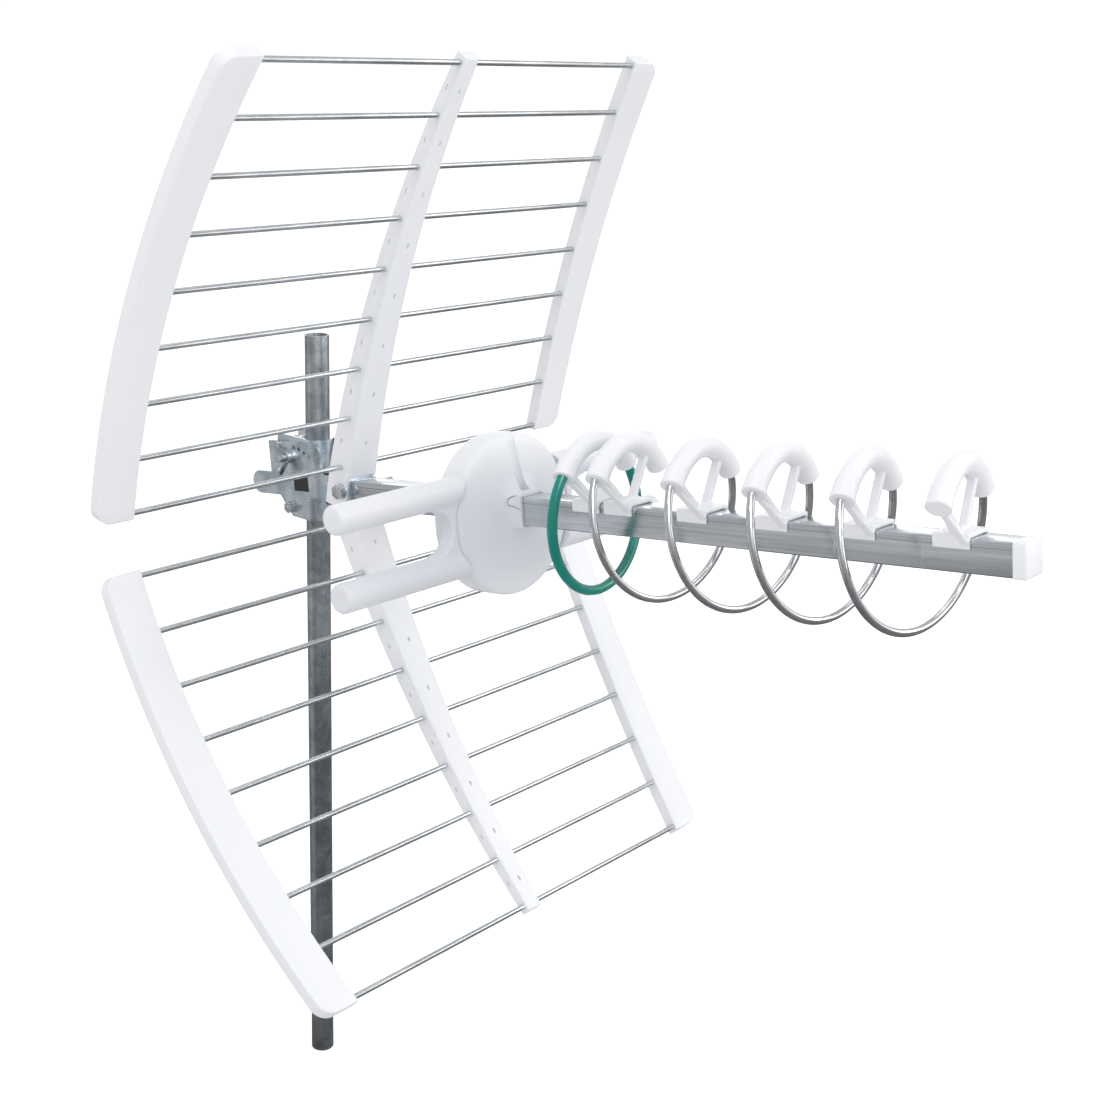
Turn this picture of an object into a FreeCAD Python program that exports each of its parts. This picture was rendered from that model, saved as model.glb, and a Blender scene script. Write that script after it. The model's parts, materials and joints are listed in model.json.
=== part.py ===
import FreeCAD, Part
import Sketcher
import math
import os

# Rear-mounted UHF television antenna on a tubular mast.
# Each piece is drawn in one of two frames, both in millimetres.
# The antenna's frame: X across, -Y forward along the boom, Z up, with the origin on the boom's
# axis where the innermost reflector rods cross it.
# The mast's frame: Z along the mast from its lower end, and -Y forward. The tilt bolt joins the
# two: the antenna is turned nose up about it by the tilt angle.

Vector = FreeCAD.Vector
Rotation = FreeCAD.Rotation
Placement = FreeCAD.Placement

X_AXIS = Vector(1, 0, 0)
Y_AXIS = Vector(0, 1, 0)
Z_AXIS = Vector(0, 0, 1)
HALF_TURN = Placement(Vector(), Rotation(Y_AXIS, 180))

doc = FreeCAD.newDocument("UhfAntenna")
sheet = doc.addObject("Spreadsheet::Sheet", "Sizes")

SIZES = [
    # boom
    ("boom_side", 20.0, "outside of the square boom tube"),
    ("boom_wall", 1.5, "wall of the boom tube"),
    ("boom_reach", 537.0, "boom's front end, ahead of the innermost rods"),
    ("boom_tail", 25.0, "boom's rear end, behind the innermost rods"),
    ("cap_length", 8.0, "what the front cap shows ahead of the tube"),
    ("cap_lip", 0.6, "how far a cap stands out round the tube"),
    ("cap_plug", 12.0, "how far a cap's plug goes into the tube"),
    ("rear_cap_length", 2.5, "what the rear cap shows behind the tube"),
    ("fit_gap", 0.1, "gap all round a piece that is pushed into another"),
    # reflector
    ("rods_per_panel", 9, "reflector rods in each panel"),
    ("rod_diameter", 4.0, "reflector rod"),
    ("rod_step", 39.5, "distance between rods along the curve"),
    ("rod_grip", 9.0, "length of each rod's end inside its side frame"),
    ("reflector_radius", 931.0, "radius of the reflector's curve"),
    ("root_angle", 18.2, "lean of the curve at the innermost rod, degrees"),
    ("root_height", 21.5, "innermost rod above the boom's axis"),
    ("middle_reach", 200.9, "half the open length of the innermost rod"),
    ("outer_reach", 175.0, "half the open length of the outermost rod"),
    ("frame_width", 28.5, "side frame, across"),
    ("frame_front", 3.2, "side frame's face, ahead of the rods' axes"),
    ("frame_back", 7.0, "side frame's rim, behind the rods' axes"),
    ("frame_wall", 1.8, "wall of a side frame"),
    ("frame_corner", 11.0, "radius of a side frame's outer corners"),
    ("frame_overrun", 4.0, "side frame's end, past the last rod"),
    ("spine_root_width", 30.0, "spine's width at the boom"),
    ("spine_tip_width", 13.6, "spine's width at its tip"),
    ("spine_root_front", 8.0, "spine's face ahead of the rods' axes, at the boom"),
    ("spine_tip_front", 3.4, "spine's face ahead of the rods' axes, at the tip"),
    ("spine_root_back", 12.0, "spine's rim behind the rods' axes, at the boom"),
    ("spine_tip_back", 5.5, "spine's rim behind the rods' axes, at the tip"),
    ("spine_wall", 2.0, "wall of a spine"),
    ("spine_overrun", 5.0, "spine's tip past the last rod"),
    ("cheek_drop", 11.0, "how far a spine's long cheek reaches past the boom's axis"),
    ("root_block", 8.0, "solid part of a spine's root, past the boom"),
    ("collar_length", 9.0, "sleeve on the boom ahead of each spine's face"),
    ("collar_wall", 2.2, "wall of that sleeve"),
    ("drain_width", 2.2, "small drain holes in the spines, midway between rods"),
    ("drain_length", 4.2, "length of those holes"),
    ("spine_bolt", 6.0, "bolt through both spines and the boom"),
    ("spine_bolt_y", 2.0, "that bolt, behind the innermost rods"),
    ("spine_bolt_z", 3.0, "that bolt, above the boom's axis"),
    ("spine_bolt_stub", 21.0, "that bolt's end past the right cheek"),
    ("root_slot", 0.1, "gap between the bracket's cheeks and the slot for them in each spine"),
    # dipole
    ("dipole_y", 155.0, "dipole arms' axes, ahead of the innermost rods"),
    ("dipole_drop", 4.8, "dipole's centre below the boom's axis"),
    ("arm_diameter", 20.0, "outside of a dipole arm"),
    ("arm_spread", 50.6, "between the upper and the lower arm's axes"),
    ("arm_reach", 161.0, "arm's end from the middle"),
    ("arm_wall", 2.0, "wall of an arm"),
    ("arm_round", 2.5, "rounding of an arm's end"),
    ("slot_reach", 61.6, "end of the gap between two arms, from the middle"),
    ("web_thick", 12.0, "thickness of the web between two arms"),
    ("dome_radius", 57.0, "radius of the round housing"),
    ("dome_joint", 1.5, "joint between cover and housing, ahead of the arms' axes"),
    ("dome_skirt", 0.6, "straight side of the cover, ahead of that joint"),
    ("dome_rise", 10.5, "rise of the cover's face from its edge to the middle"),
    ("dome_edge", 2.0, "bevelled edge of cover and housing"),
    ("dome_back", 18.5, "depth of the housing behind the joint"),
    ("dome_wall", 2.2, "wall of cover and housing"),
    ("cover_collar", 8.5, "square collar of the cover round the boom, ahead of its face"),
    ("collar_skin", 2.0, "wall of that collar at its front"),
    ("collar_flare", 5.0, "how much wider the collar is at the cover, each side"),
    ("tab_root", 13.0, "height of the locking tab on the collar's left side, at the front"),
    ("tab_tip", 6.0, "height of that tab where it meets the cover"),
    ("tab_up", 7.0, "that tab's middle above the boom's axis"),
    ("tab_stand", 0.8, "how far that tab stands out"),
    ("element_gap", 0.1, "gap between a strip's edges and its arm's bore"),
    ("element_thick", 1.5, "thickness of that strip"),
    ("board_width", 34.0, "matching board"),
    ("board_height", 22.0, "height of the matching board"),
    ("board_thick", 1.6, "thickness of the matching board"),
    ("socket_thread", 9.5, "thread of the cable socket"),
    ("socket_length", 12.0, "length of that thread"),
    ("socket_barrel", 11.0, "cable socket's barrel, through the housing and its nut"),
    ("socket_flange", 14.0, "its flange inside the housing"),
    ("socket_flange_thick", 4.4, "thickness of that flange"),
    ("socket_nut", 15.0, "across the flats of its nut"),
    ("socket_nut_height", 2.4, "height of its nut"),
    ("socket_bore", 4.8, "hole in its end"),
    ("socket_x", 26.0, "cable socket beside the middle"),
    ("socket_drop", 40.0, "cable socket below the boom's axis"),
    ("screw", 3.0, "shank of a cover screw"),
    ("screw_bite", 3.0, "how far a cover screw goes into the cover"),
    ("screw_head", 5.5, "head of a cover screw"),
    ("screw_head_height", 1.5, "height of that head"),
    ("screw_post", 7.0, "post in the cover for a screw"),
    ("screw_circle", 46.0, "cover screws from the dome's centre"),
    ("screw_angle", 70.0, "cover screws above and below level, degrees"),
    # directors
    ("clip_count", 6, "plastic clips on the boom"),
    ("clip_setback", 36.3, "foremost clip, behind the boom's front end"),
    ("clip_clearance", 46.1, "rearmost clip's saddle, ahead of the dipole cover's collar"),
    ("first_gap", 27.0, "between the two rearmost clips"),
    ("turn_radius", 52.5, "radius of the director rods' turns"),
    ("turn_height", 2.5, "axis of the turns above the boom's axis"),
    ("turn_left_angle", 36.0, "where a turn leaves its clip, degrees above level, left"),
    ("turn_right_angle", 27.5, "where a turn meets its clip, degrees above level, right"),
    ("director_diameter", 5.0, "bare director rod"),
    ("sleeved_diameter", 7.0, "sleeved director rod"),
    ("director_grip", 9.0, "length of each rod's end inside its clip"),
    ("clip_tube", 14.0, "outside of a clip's round arch"),
    ("clip_radius", 60.0, "radius of the arch's centre line"),
    ("clip_sink", 10.0, "centre of the arch below the boom's axis"),
    ("clip_left_angle", 45.0, "arch's left end, degrees above level"),
    ("clip_right_angle", 38.0, "arch's right end, degrees above level"),
    ("clip_web", 6.0, "thickness of the two legs under the arch"),
    ("leg_width", 7.5, "width of a leg"),
    ("leg_spread", 36.5, "where the legs meet the arch, from the middle"),
    ("strut_reach", 40.7, "where the strut meets the arch, from the middle"),
    ("foot_length", 23.0, "saddle on the boom, along it"),
    ("foot_plate", 2.6, "thickness of the saddle above the boom"),
    ("foot_wall", 1.8, "thickness of the saddle's side tabs"),
    ("foot_tab", 6.0, "how far the side tabs reach down"),
    ("strut_thick", 2.2, "thin strut from the arch's left end to the saddle"),
    ("strut_width", 5.0, "width of that strut"),
    # bracket and mast
    ("tilt_angle", 7.65, "the antenna's nose above level, degrees"),
    ("pivot_y", 60.5, "tilt bolt, behind the innermost rods"),
    ("pivot_z", 26.0, "tilt bolt, above the boom's axis"),
    ("pivot_behind", 17.3, "tilt bolt, behind the mast's axis"),
    ("pivot_height", 524.0, "tilt bolt, above the mast's lower end"),
    ("mast_diameter", 18.6, "outside of the mast"),
    ("mast_wall", 1.5, "wall of the mast"),
    ("mast_length", 620.0, "length of the mast"),
    ("turning_gap", 0.05, "gap round a bolt or tube that turns"),
    ("steel", 2.2, "thickness of the brackets' sheet steel"),
    ("bracket_above", 16.0, "mast bracket, above the tilt bolt"),
    ("bracket_below", 48.0, "mast bracket, below the tilt bolt"),
    ("leg_reach", 34.0, "mast bracket's legs, behind the mast's axis"),
    ("cheek_gap", 0.3, "gap between the two brackets' cheeks"),
    ("cheek_start", 4.0, "front of the antenna bracket's cheeks, ahead of the innermost rods"),
    ("cheek_bend", 27.0, "where those cheeks step outwards"),
    ("cheek_end", 108.0, "rear end of those cheeks"),
    ("rail_top", 13.0, "top of the cheeks' long rail, above the boom's axis"),
    ("rail_bottom", 5.0, "bottom of that rail, below the boom's axis"),
    ("ear_start", 27.0, "front of the cheeks' upper ear"),
    ("ear_end", 84.0, "rear of that ear"),
    ("ear_top", 38.0, "top of that ear, above the boom's axis"),
    ("ear_round", 9.0, "rounding of the ear's front corner"),
    ("lock_holes", 4, "small holes in an arc above the tilt bolt"),
    ("lock_hole_start", 36.8, "foremost of them, behind the innermost rods"),
    ("lock_hole_end", 53.9, "rearmost of them"),
    ("lock_hole_drop", 12.0, "foremost of them, below the ear's top"),
    ("lock_hole_rise", 4.6, "rearmost of them, below the ear's top"),
    ("lock_hole", 2.6, "one of those holes"),
    ("lock_hole_flats", 6, "sides of those holes"),
    ("window_start", 41.0, "window in each cheek, front edge"),
    ("window_end", 58.0, "window in each cheek, rear edge"),
    ("window_half", 6.5, "half the window's height"),
    ("bolt", 6.0, "bolts of the brackets"),
    ("bolt_head", 10.0, "across the flats of bolt heads and nuts"),
    ("head_height", 4.0, "height of bolt heads"),
    ("nut_height", 5.0, "height of nuts"),
    ("washer_diameter", 12.0, "washers"),
    ("washer_thick", 1.2, "thickness of washers"),
    ("wing_span", 26.0, "wing nut from tip to tip"),
    ("wing_height", 12.0, "height of a wing"),
    ("wing_root", 3.5, "height of a wing where it leaves the nut"),
    ("wing_blade", 4.0, "width of a wing near its tip"),
    ("clamp_bolt_drop", 40.5, "lower clamp bolt, below the tilt bolt"),
    ("jaw_teeth", 7, "teeth down each edge of the jaw"),
    ("clamp_bolt", 5.0, "lower bolt of the mast bracket"),
    ("clamp_head", 8.0, "across the flats of that bolt's head and nut"),
    ("jaw_half", 7.0, "jaw's toothed edges, from the middle"),
    ("jaw_sheet", 2.0, "thickness of the jaw's steel"),
    ("tooth_depth", 2.0, "depth of a tooth"),
    ("tooth_flat", 1.8, "flat between two teeth"),
    ("bent_runs", 12, "straight runs that stand for a bent rod's curve"),
    ("arch_runs", 6, "straight runs that stand for an arch's curve"),
    ("bar_flats", 10, "flats that stand for the round of rods, screws and small holes"),
    ("room_flats", 30, "flats that stand for the round inside of the dipole's housing"),
    ("face_rings", 3, "cone rings that stand for the ball face of the dipole's cover"),
]
for row, (alias, number, note) in enumerate(SIZES, start=1):
    sheet.set(f"A{row}", alias)
    sheet.set(f"B{row}", str(number))
    sheet.set(f"C{row}", note)
    sheet.setAlias(f"B{row}", alias)
doc.recompute()


def size(alias):
    """One driving dimension, as a plain number."""
    return float(sheet.get(alias))


def count(alias):
    """One driving count."""
    return int(round(size(alias)))


def value(owner, expression):
    """What an expression over the sheet comes to."""
    result = owner.evalExpression(expression)
    return float(getattr(result, "Value", result))


parts = []


def finish(feature, label, placement):
    """Name a sub-part and put it where it belongs."""
    feature.Label = label
    feature.Placement = placement
    parts.append(feature)
    return feature


# The antenna's frame seen from the mast's frame
def antenna_frame():
    turn = Rotation(Vector(1, 0, 0), -size("tilt_angle"))
    pivot = Vector(0, size("pivot_y"), size("pivot_z"))
    seat = Vector(0, size("pivot_behind"), size("pivot_height"))
    return Placement(seat - turn.multVec(pivot), turn)


ANTENNA = antenna_frame()
MAST = Placement()


# Sketching helpers
def new_body(name):
    return doc.addObject("PartDesign::Body", name)


def new_sketch(body, plane, name, offset=0.0):
    """A sketch on one of the body's own origin planes, moved along the plane's normal."""
    planes = {feature.Role: feature for feature in body.Origin.OriginFeatures}
    sketch = body.newObject("Sketcher::SketchObject", name)
    sketch.AttachmentSupport = (planes[plane], "")
    sketch.MapMode = "FlatFace"
    sketch.AttachmentOffset = Placement(Vector(0, 0, offset), Rotation())
    return sketch


def pin_down(sketch, kind, geometry, point, expression):
    """Tie one point's distance from the sketch's origin to an expression."""
    number = value(sketch, expression)
    index = sketch.addConstraint(Sketcher.Constraint(kind, -1, 1, geometry, point, number))
    sketch.setExpression(f"Constraints[{index}]", expression)


def rectangle(sketch, left, bottom, right, top):
    """A rectangle whose four sides follow expressions."""
    x0, z0, x1, z1 = (value(sketch, side) for side in (left, bottom, right, top))
    corners = [Vector(x0, z0, 0), Vector(x1, z0, 0), Vector(x1, z1, 0), Vector(x0, z1, 0)]
    lines = [sketch.addGeometry(Part.LineSegment(corners[i], corners[(i + 1) % 4])) for i in range(4)]
    for i in range(4):
        sketch.addConstraint(Sketcher.Constraint("Coincident", lines[i], 2, lines[(i + 1) % 4], 1))
        side = "Horizontal" if i % 2 == 0 else "Vertical"
        sketch.addConstraint(Sketcher.Constraint(side, lines[i]))
    pin_down(sketch, "DistanceX", lines[0], 1, left)
    pin_down(sketch, "DistanceY", lines[0], 1, bottom)
    pin_down(sketch, "DistanceX", lines[1], 2, right)
    pin_down(sketch, "DistanceY", lines[1], 2, top)


def circle(sketch, across, up, radius):
    """A circle whose centre and radius follow expressions."""
    centre = Vector(value(sketch, across), value(sketch, up), 0)
    ring = sketch.addGeometry(Part.Circle(centre, Vector(0, 0, 1), value(sketch, radius)))
    pin_down(sketch, "DistanceX", ring, 3, across)
    pin_down(sketch, "DistanceY", ring, 3, up)
    index = sketch.addConstraint(Sketcher.Constraint("Radius", ring, value(sketch, radius)))
    sketch.setExpression(f"Constraints[{index}]", radius)


def outline(sketch, steps):
    """A closed outline: each step is a corner, or a pair of points (through, to) for an arc."""
    start = steps[0]
    here = start
    for step in list(steps[1:]) + [start]:
        if isinstance(step[0], tuple):
            through, there = step
            sketch.addGeometry(Part.Arc(Vector(*here, 0), Vector(*through, 0), Vector(*there, 0)))
        else:
            there = step
            sketch.addGeometry(Part.LineSegment(Vector(*here, 0), Vector(*there, 0)))
        here = there


def pad(body, sketch, length, name, midplane=False, reverse=False):
    feature = body.newObject("PartDesign::Pad", name)
    feature.Profile = sketch
    feature.setExpression("Length", length)
    feature.Midplane = midplane
    feature.Reversed = reverse
    return feature


def pocket(body, sketch, name, length=None, midplane=True, reverse=False):
    """Cut a sketch out of the body, right through unless a length is given."""
    feature = body.newObject("PartDesign::Pocket", name)
    feature.Profile = sketch
    if length is None:
        feature.Type = "ThroughAll"
    else:
        feature.setExpression("Length", length)
    feature.Midplane = midplane
    feature.Reversed = reverse
    return feature


def fused(name, pieces):
    feature = doc.addObject("Part::MultiFuse", name)
    feature.Shapes = pieces
    feature.Refine = True
    return feature


def gathered(name, pieces):
    """Separate solids kept together as one object."""
    feature = doc.addObject("Part::Compound", name)
    feature.Links = pieces
    return feature


def cut(name, base, tool):
    feature = doc.addObject("Part::Cut", name)
    feature.Base = base
    feature.Tool = tool
    return feature


def cylinder(name, start, direction, radius, length):
    """A round bar from a point along a direction; radius and length are expressions."""
    feature = doc.addObject("Part::Cylinder", name)
    feature.setExpression("Radius", radius)
    feature.setExpression("Height", length)
    feature.Placement = Placement(start, Rotation(Vector(0, 0, 1), direction))
    return feature


def flat_bar(name, start, direction, radius, length, flats="bar_flats"):
    """A round bar drawn with flats, its corners on the true round."""
    feature = doc.addObject("Part::Prism", name)
    feature.setExpression("Polygon", f"Sizes.{flats}")
    feature.setExpression("Circumradius", radius)
    feature.setExpression("Height", length)
    feature.Placement = Placement(start, Rotation(Vector(0, 0, 1), direction))
    return feature


def flat_hole(name, start, direction, radius, length, flats="bar_flats"):
    """A round hole drawn with flats, which clear the true round."""
    return flat_bar(name, start, direction, f"({radius}) / cos(180 / Sizes.{flats})", length, flats)


def flat_ring(sketch, across, up, radius, flats="bar_flats"):
    """The outline of such a hole in a sketch."""
    flats = count(flats)
    reach = radius / math.cos(math.pi / flats)
    turns = [2 * math.pi * flat / flats for flat in range(flats)]
    outline(sketch, [(across + reach * math.cos(turn), up + reach * math.sin(turn)) for turn in turns])


def box(name, corner, length, width, height):
    """A block from its low corner; the three sides are expressions."""
    feature = doc.addObject("Part::Box", name)
    feature.setExpression("Length", length)
    feature.setExpression("Width", width)
    feature.setExpression("Height", height)
    feature.Placement = Placement(corner, Rotation())
    return feature


# The reflector's curve
def curve_angle(distance):
    """Lean of the curve at a distance along it from the innermost rod, in radians."""
    return math.radians(size("root_angle")) + distance / size("reflector_radius")


def curve_point(distance, behind=0.0):
    """Point (y, z) of the curve at a distance along it, moved behind it by an amount."""
    root = math.radians(size("root_angle"))
    lean = curve_angle(distance)
    radius = size("reflector_radius")
    y = radius * (math.cos(lean) - math.cos(root)) + behind * math.cos(lean)
    z = size("root_height") + radius * (math.sin(lean) - math.sin(root)) + behind * math.sin(lean)
    return y, z


def last_rod():
    """Distance of the outermost rod along the curve."""
    return size("rod_step") * (count("rods_per_panel") - 1)


def bow_radius():
    """Radius of the side frames' bow, which sets how long each rod is."""
    sag = size("middle_reach") - size("outer_reach")
    return (last_rod() ** 2 + sag ** 2) / (2 * sag)


def half_rod(distance):
    """Half the open length of a rod at a distance along the curve."""
    radius = bow_radius()
    return size("middle_reach") - radius + math.sqrt(radius ** 2 - distance ** 2)


def band(sketch, low, high, front_low, front_high, back_low, back_high):
    """Side view of a curved bar between two distances along the curve."""
    middle = (low + high) / 2
    front_middle = (front_low + front_high) / 2
    back_middle = (back_low + back_high) / 2
    outline(sketch, [
        curve_point(low, -front_low),
        (curve_point(middle, -front_middle), curve_point(high, -front_high)),
        curve_point(high, back_high),
        (curve_point(middle, back_middle), curve_point(low, back_low)),
    ])


def keep_outline(body, name, plane, steps, beyond=None):
    """Cut away all of the body outside an outline on one of its planes."""
    reach = beyond or 2 * size("boom_reach")
    sketch = new_sketch(body, plane, name + "_sketch")
    outline(sketch, [(-reach, -reach), (reach, -reach), (reach, reach), (-reach, reach)])
    outline(sketch, steps)
    return pocket(body, sketch, name)


# Side frames
def frame_solid(name, side, inset, front, back, low, high):
    """Curved, bowed strip outside the rods' ends, smaller all round by an inset."""
    body = new_body(name)
    side_view = new_sketch(body, "YZ_Plane", name + "_side")
    band(side_view, low - inset, high + inset, front, front, back, back)
    reach = size("middle_reach") + 2 * size("frame_width")
    pad(body, side_view, f"{2 * reach} mm", name + "_pad", midplane=True)
    corner = size("frame_corner") - inset
    inner, outer = inset, size("frame_width") - inset
    bottom, top = curve_point(low)[1], curve_point(high)[1]
    middle = (low + high) / 2
    turn = corner * (1 - math.sqrt(0.5))
    near_low, near_high = low + corner, high - corner

    def edge(distance, out):
        return side * (half_rod(max(distance, 0.0)) + out)

    keep_outline(body, name + "_outline", "XZ_Plane", [
        (edge(low, inner), bottom),
        ((edge(middle, inner), curve_point(middle)[1]), (edge(high, inner), top)),
        (edge(high, outer - corner), top),
        ((edge(high, outer) - side * turn, top - turn), (edge(near_high, outer), curve_point(near_high)[1])),
        ((edge(middle, outer), curve_point(middle)[1]), (edge(near_low, outer), curve_point(near_low)[1])),
        ((edge(low, outer) - side * turn, bottom + turn), (edge(low, outer - corner), bottom)),
    ])
    return body


def rod_slot(name, start_x, length, distance, depth):
    """Square slot for a rod, from just ahead of it to a depth behind its axis."""
    half = size("rod_diameter") / 2 + size("fit_gap")
    y, z = curve_point(distance)
    lean = Rotation(X_AXIS, math.degrees(curve_angle(distance)))
    slot = box(name, Vector(), f"{length} mm", f"{half + depth} mm", f"{2 * half} mm")
    corner = Vector(start_x, y, z) + lean.multVec(Vector(0, -half, -half))
    slot.Placement = Placement(corner, lean)
    return slot


def side_frame(label, side, upper):
    """Moulded channel, open at the back, with a slot in its inner wall for each rod's end."""
    low, high = -size("frame_overrun"), last_rod() + size("frame_overrun")
    wall = size("frame_wall")
    front, back = size("frame_front"), size("frame_back")
    outer = frame_solid(label + "_outer", side, 0.0, front, back, low, high)
    inner = frame_solid(label + "_inner", side, wall, front - wall, back + wall,
                        low + 2 * wall, high - 2 * wall)
    hollow = cut(label + "_channel", outer, inner)
    reach = size("rod_grip") + size("fit_gap") + wall
    slots = []
    for number in range(count("rods_per_panel")):
        distance = number * size("rod_step")
        edge = half_rod(distance) - wall
        start = edge if side > 0 else -edge - reach
        slots.append(rod_slot(f"{label}_slot_{number}", start, reach, distance, 2 * back))
    slotted = cut(label + "_slotted", hollow, gathered(label + "_slots", slots))
    return finish(slotted, label, ANTENNA.multiply(Placement() if upper else HALF_TURN))


side_frame("left_upper_frame", -1, True)
side_frame("right_upper_frame", 1, True)
side_frame("left_lower_frame", 1, False)
side_frame("right_lower_frame", -1, False)


# Reflector rods
def reflector_rod(number, upper):
    """One straight rod through the spine, its ends in the two side frames."""
    distance = (number - 1) * size("rod_step")
    y, z = curve_point(distance)
    half = half_rod(distance) + size("rod_grip")
    label = f"{'upper' if upper else 'lower'}_rod_{number}"
    start = Vector(-half, y, z if upper else -z)
    rod = flat_bar(label + "_bar", start, X_AXIS, "Sizes.rod_diameter / 2", f"{2 * half} mm")
    return finish(rod, label, ANTENNA.multiply(rod.Placement))


for rod_number in range(1, count("rods_per_panel") + 1):
    reflector_rod(rod_number, True)
    reflector_rod(rod_number, False)


# Spines
def spine_depth(side_name, distance):
    share = min(max(distance / last_rod(), 0.0), 1.0)
    root, tip = size(f"spine_root_{side_name}"), size(f"spine_tip_{side_name}")
    return root + (tip - root) * share


def spine_solid(name, low, high, inset):
    """Tapering curved bar, thinner at the front and sides by an inset."""
    body = new_body(name)
    side_view = new_sketch(body, "YZ_Plane", name + "_side")
    band(side_view, low, high, spine_depth("front", low) - inset, spine_depth("front", high) - inset,
         spine_depth("back", low) + inset, spine_depth("back", high) + inset)
    pad(body, side_view, "Sizes.spine_root_width", name + "_pad", midplane=True)
    beyond = size("spine_root_width")
    bottom, top = curve_point(low)[1] - beyond, curve_point(high)[1] + beyond
    root, tip = size("root_height"), curve_point(last_rod())[1]
    root_half = size("spine_root_width") / 2 - inset
    tip_half = size("spine_tip_width") / 2 - inset
    keep_outline(body, name + "_outline", "XZ_Plane", [
        (-root_half, bottom), (root_half, bottom), (root_half, root), (tip_half, tip), (tip_half, top),
        (-tip_half, top), (-tip_half, tip), (-root_half, root)])
    return body


def boom_bore(name):
    """Square hole for the boom, with its fitting gap."""
    half = size("boom_side") / 2 + size("fit_gap")
    reach = size("boom_reach")
    return box(name, Vector(-half, -reach, -half), "Sizes.boom_side + 2 * Sizes.fit_gap",
               "2 * Sizes.boom_reach", "Sizes.boom_side + 2 * Sizes.fit_gap")


def spine(label, upper):
    """Channel, open at the back, that carries one panel's rods and sits on the boom."""
    drop = size("cheek_drop")
    high = last_rod() + size("spine_overrun")
    half_boom = size("boom_side") / 2
    gap = size("fit_gap")
    outer = spine_solid(label + "_outer", -(size("root_height") + drop), high, 0.0)
    inner_low = half_boom + size("root_block") - size("root_height")
    inner = spine_solid(label + "_inner", inner_low, high - size("spine_wall"), size("spine_wall"))
    sleeve_half = half_boom + size("collar_wall")
    sleeve_start = -spine_depth("front", 0.0) - size("collar_length")
    sleeve = box(label + "_sleeve", Vector(-sleeve_half, sleeve_start, -drop),
                 "Sizes.boom_side + 2 * Sizes.collar_wall", "2 * Sizes.collar_length",
                 "Sizes.cheek_drop + Sizes.boom_side / 2 + Sizes.collar_wall")
    solid = fused(label + "_solid", [outer, sleeve])
    hollow = cut(label + "_channel", solid, inner)
    span = size("boom_reach")
    # the short cheek stops where the other spine's long cheek begins
    short_side = box(label + "_short_side", Vector(-half_boom - gap, -span, -span),
                     f"{span} mm", f"{2 * span} mm", f"{span + drop + gap} mm")
    slot_half = cheek_outside_front() + size("root_slot")
    slot_high = size("rail_top") + size("root_slot")
    bracket_slot = box(label + "_bracket_slot", Vector(-slot_half, -size("cheek_start") - gap, -slot_high),
                       f"{2 * slot_half} mm", f"{span} mm", f"{2 * slot_high} mm")
    long_end = box(label + "_long_end", Vector(-span, -span, -span), f"{2 * span} mm", f"{2 * span} mm",
                   f"{span - drop} mm")
    trimmed = cut(label + "_trimmed", hollow, long_end)
    rooted = cut(label + "_rooted", trimmed,
                 fused(label + "_root_tools", [boom_bore(label + "_boom_bore"), short_side, bracket_slot]))
    bolt_z = size("spine_bolt_z") if upper else -size("spine_bolt_z")
    bolt_hole = flat_hole(label + "_bolt_hole", Vector(-span, size("spine_bolt_y"), bolt_z), X_AXIS,
                          "Sizes.spine_bolt / 2 + Sizes.fit_gap", f"{2 * span} mm")
    bored = cut(label + "_bored", rooted, bolt_hole)
    width = size("spine_root_width")
    slots = []
    for number in range(count("rods_per_panel")):
        half = size("rod_diameter") / 2 + gap
        slots.append(rod_slot(f"{label}_slot_{number}", -width, 2 * width, number * size("rod_step"), half))
    for number in range(1, count("rods_per_panel")):
        slots.append(drain_hole(f"{label}_drain_{number}", (number - 0.5) * size("rod_step")))
    slotted = cut(label + "_slotted", bored, gathered(label + "_slots", slots))
    return finish(slotted, label, ANTENNA.multiply(Placement() if upper else HALF_TURN))


def drain_hole(name, distance):
    """Small hole through the spine's face, at a distance along it."""
    wide, tall = size("drain_width"), size("drain_length")
    y, z = curve_point(distance)
    lean = Rotation(X_AXIS, math.degrees(curve_angle(distance)))
    hole = box(name, Vector(), "Sizes.drain_width", "2 * Sizes.spine_root_front", "Sizes.drain_length")
    corner = Vector(0, y, z) + lean.multVec(Vector(-wide / 2, -2 * size("spine_root_front"), -tall / 2))
    hole.Placement = Placement(corner, lean)
    return hole


def cheek_outside_front():
    """Outer face of the antenna bracket's cheeks beside the boom, from the middle."""
    return size("boom_side") / 2 + size("fit_gap") + size("steel")


spine("upper_spine", True)
spine("lower_spine", False)


def spine_bolt():
    """Hexagon bolt with its washer, through both spines, the bracket and the boom."""
    y, z = size("spine_bolt_y"), size("spine_bolt_z")
    face = size("spine_root_width") / 2
    washer = size("washer_thick")
    shank = flat_bar("spine_bolt_shank", Vector(-face - washer, y, z), X_AXIS, "Sizes.spine_bolt / 2",
                     "Sizes.spine_root_width + Sizes.washer_thick + Sizes.spine_bolt_stub")
    disc = flat_bar("spine_bolt_washer", Vector(-face - washer, y, z), X_AXIS, "Sizes.washer_diameter / 2",
                    "Sizes.washer_thick")
    head = hexagon("spine_bolt_head", Vector(-face - washer, y, z), -X_AXIS, "bolt_head", "Sizes.head_height")
    finish(fused("spine_bolt_solid", [shank, disc, head]), "reflector_bolt", ANTENNA)
    nut = hexagon("spine_nut_body", Vector(face, y, z), X_AXIS, "bolt_head", "Sizes.nut_height")
    bore = flat_hole("spine_nut_bore", Vector(0, y, z), X_AXIS, "Sizes.spine_bolt / 2 + Sizes.fit_gap",
                     "2 * Sizes.spine_root_width")
    finish(cut("spine_nut_cut", nut, bore), "reflector_nut", ANTENNA)


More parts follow.
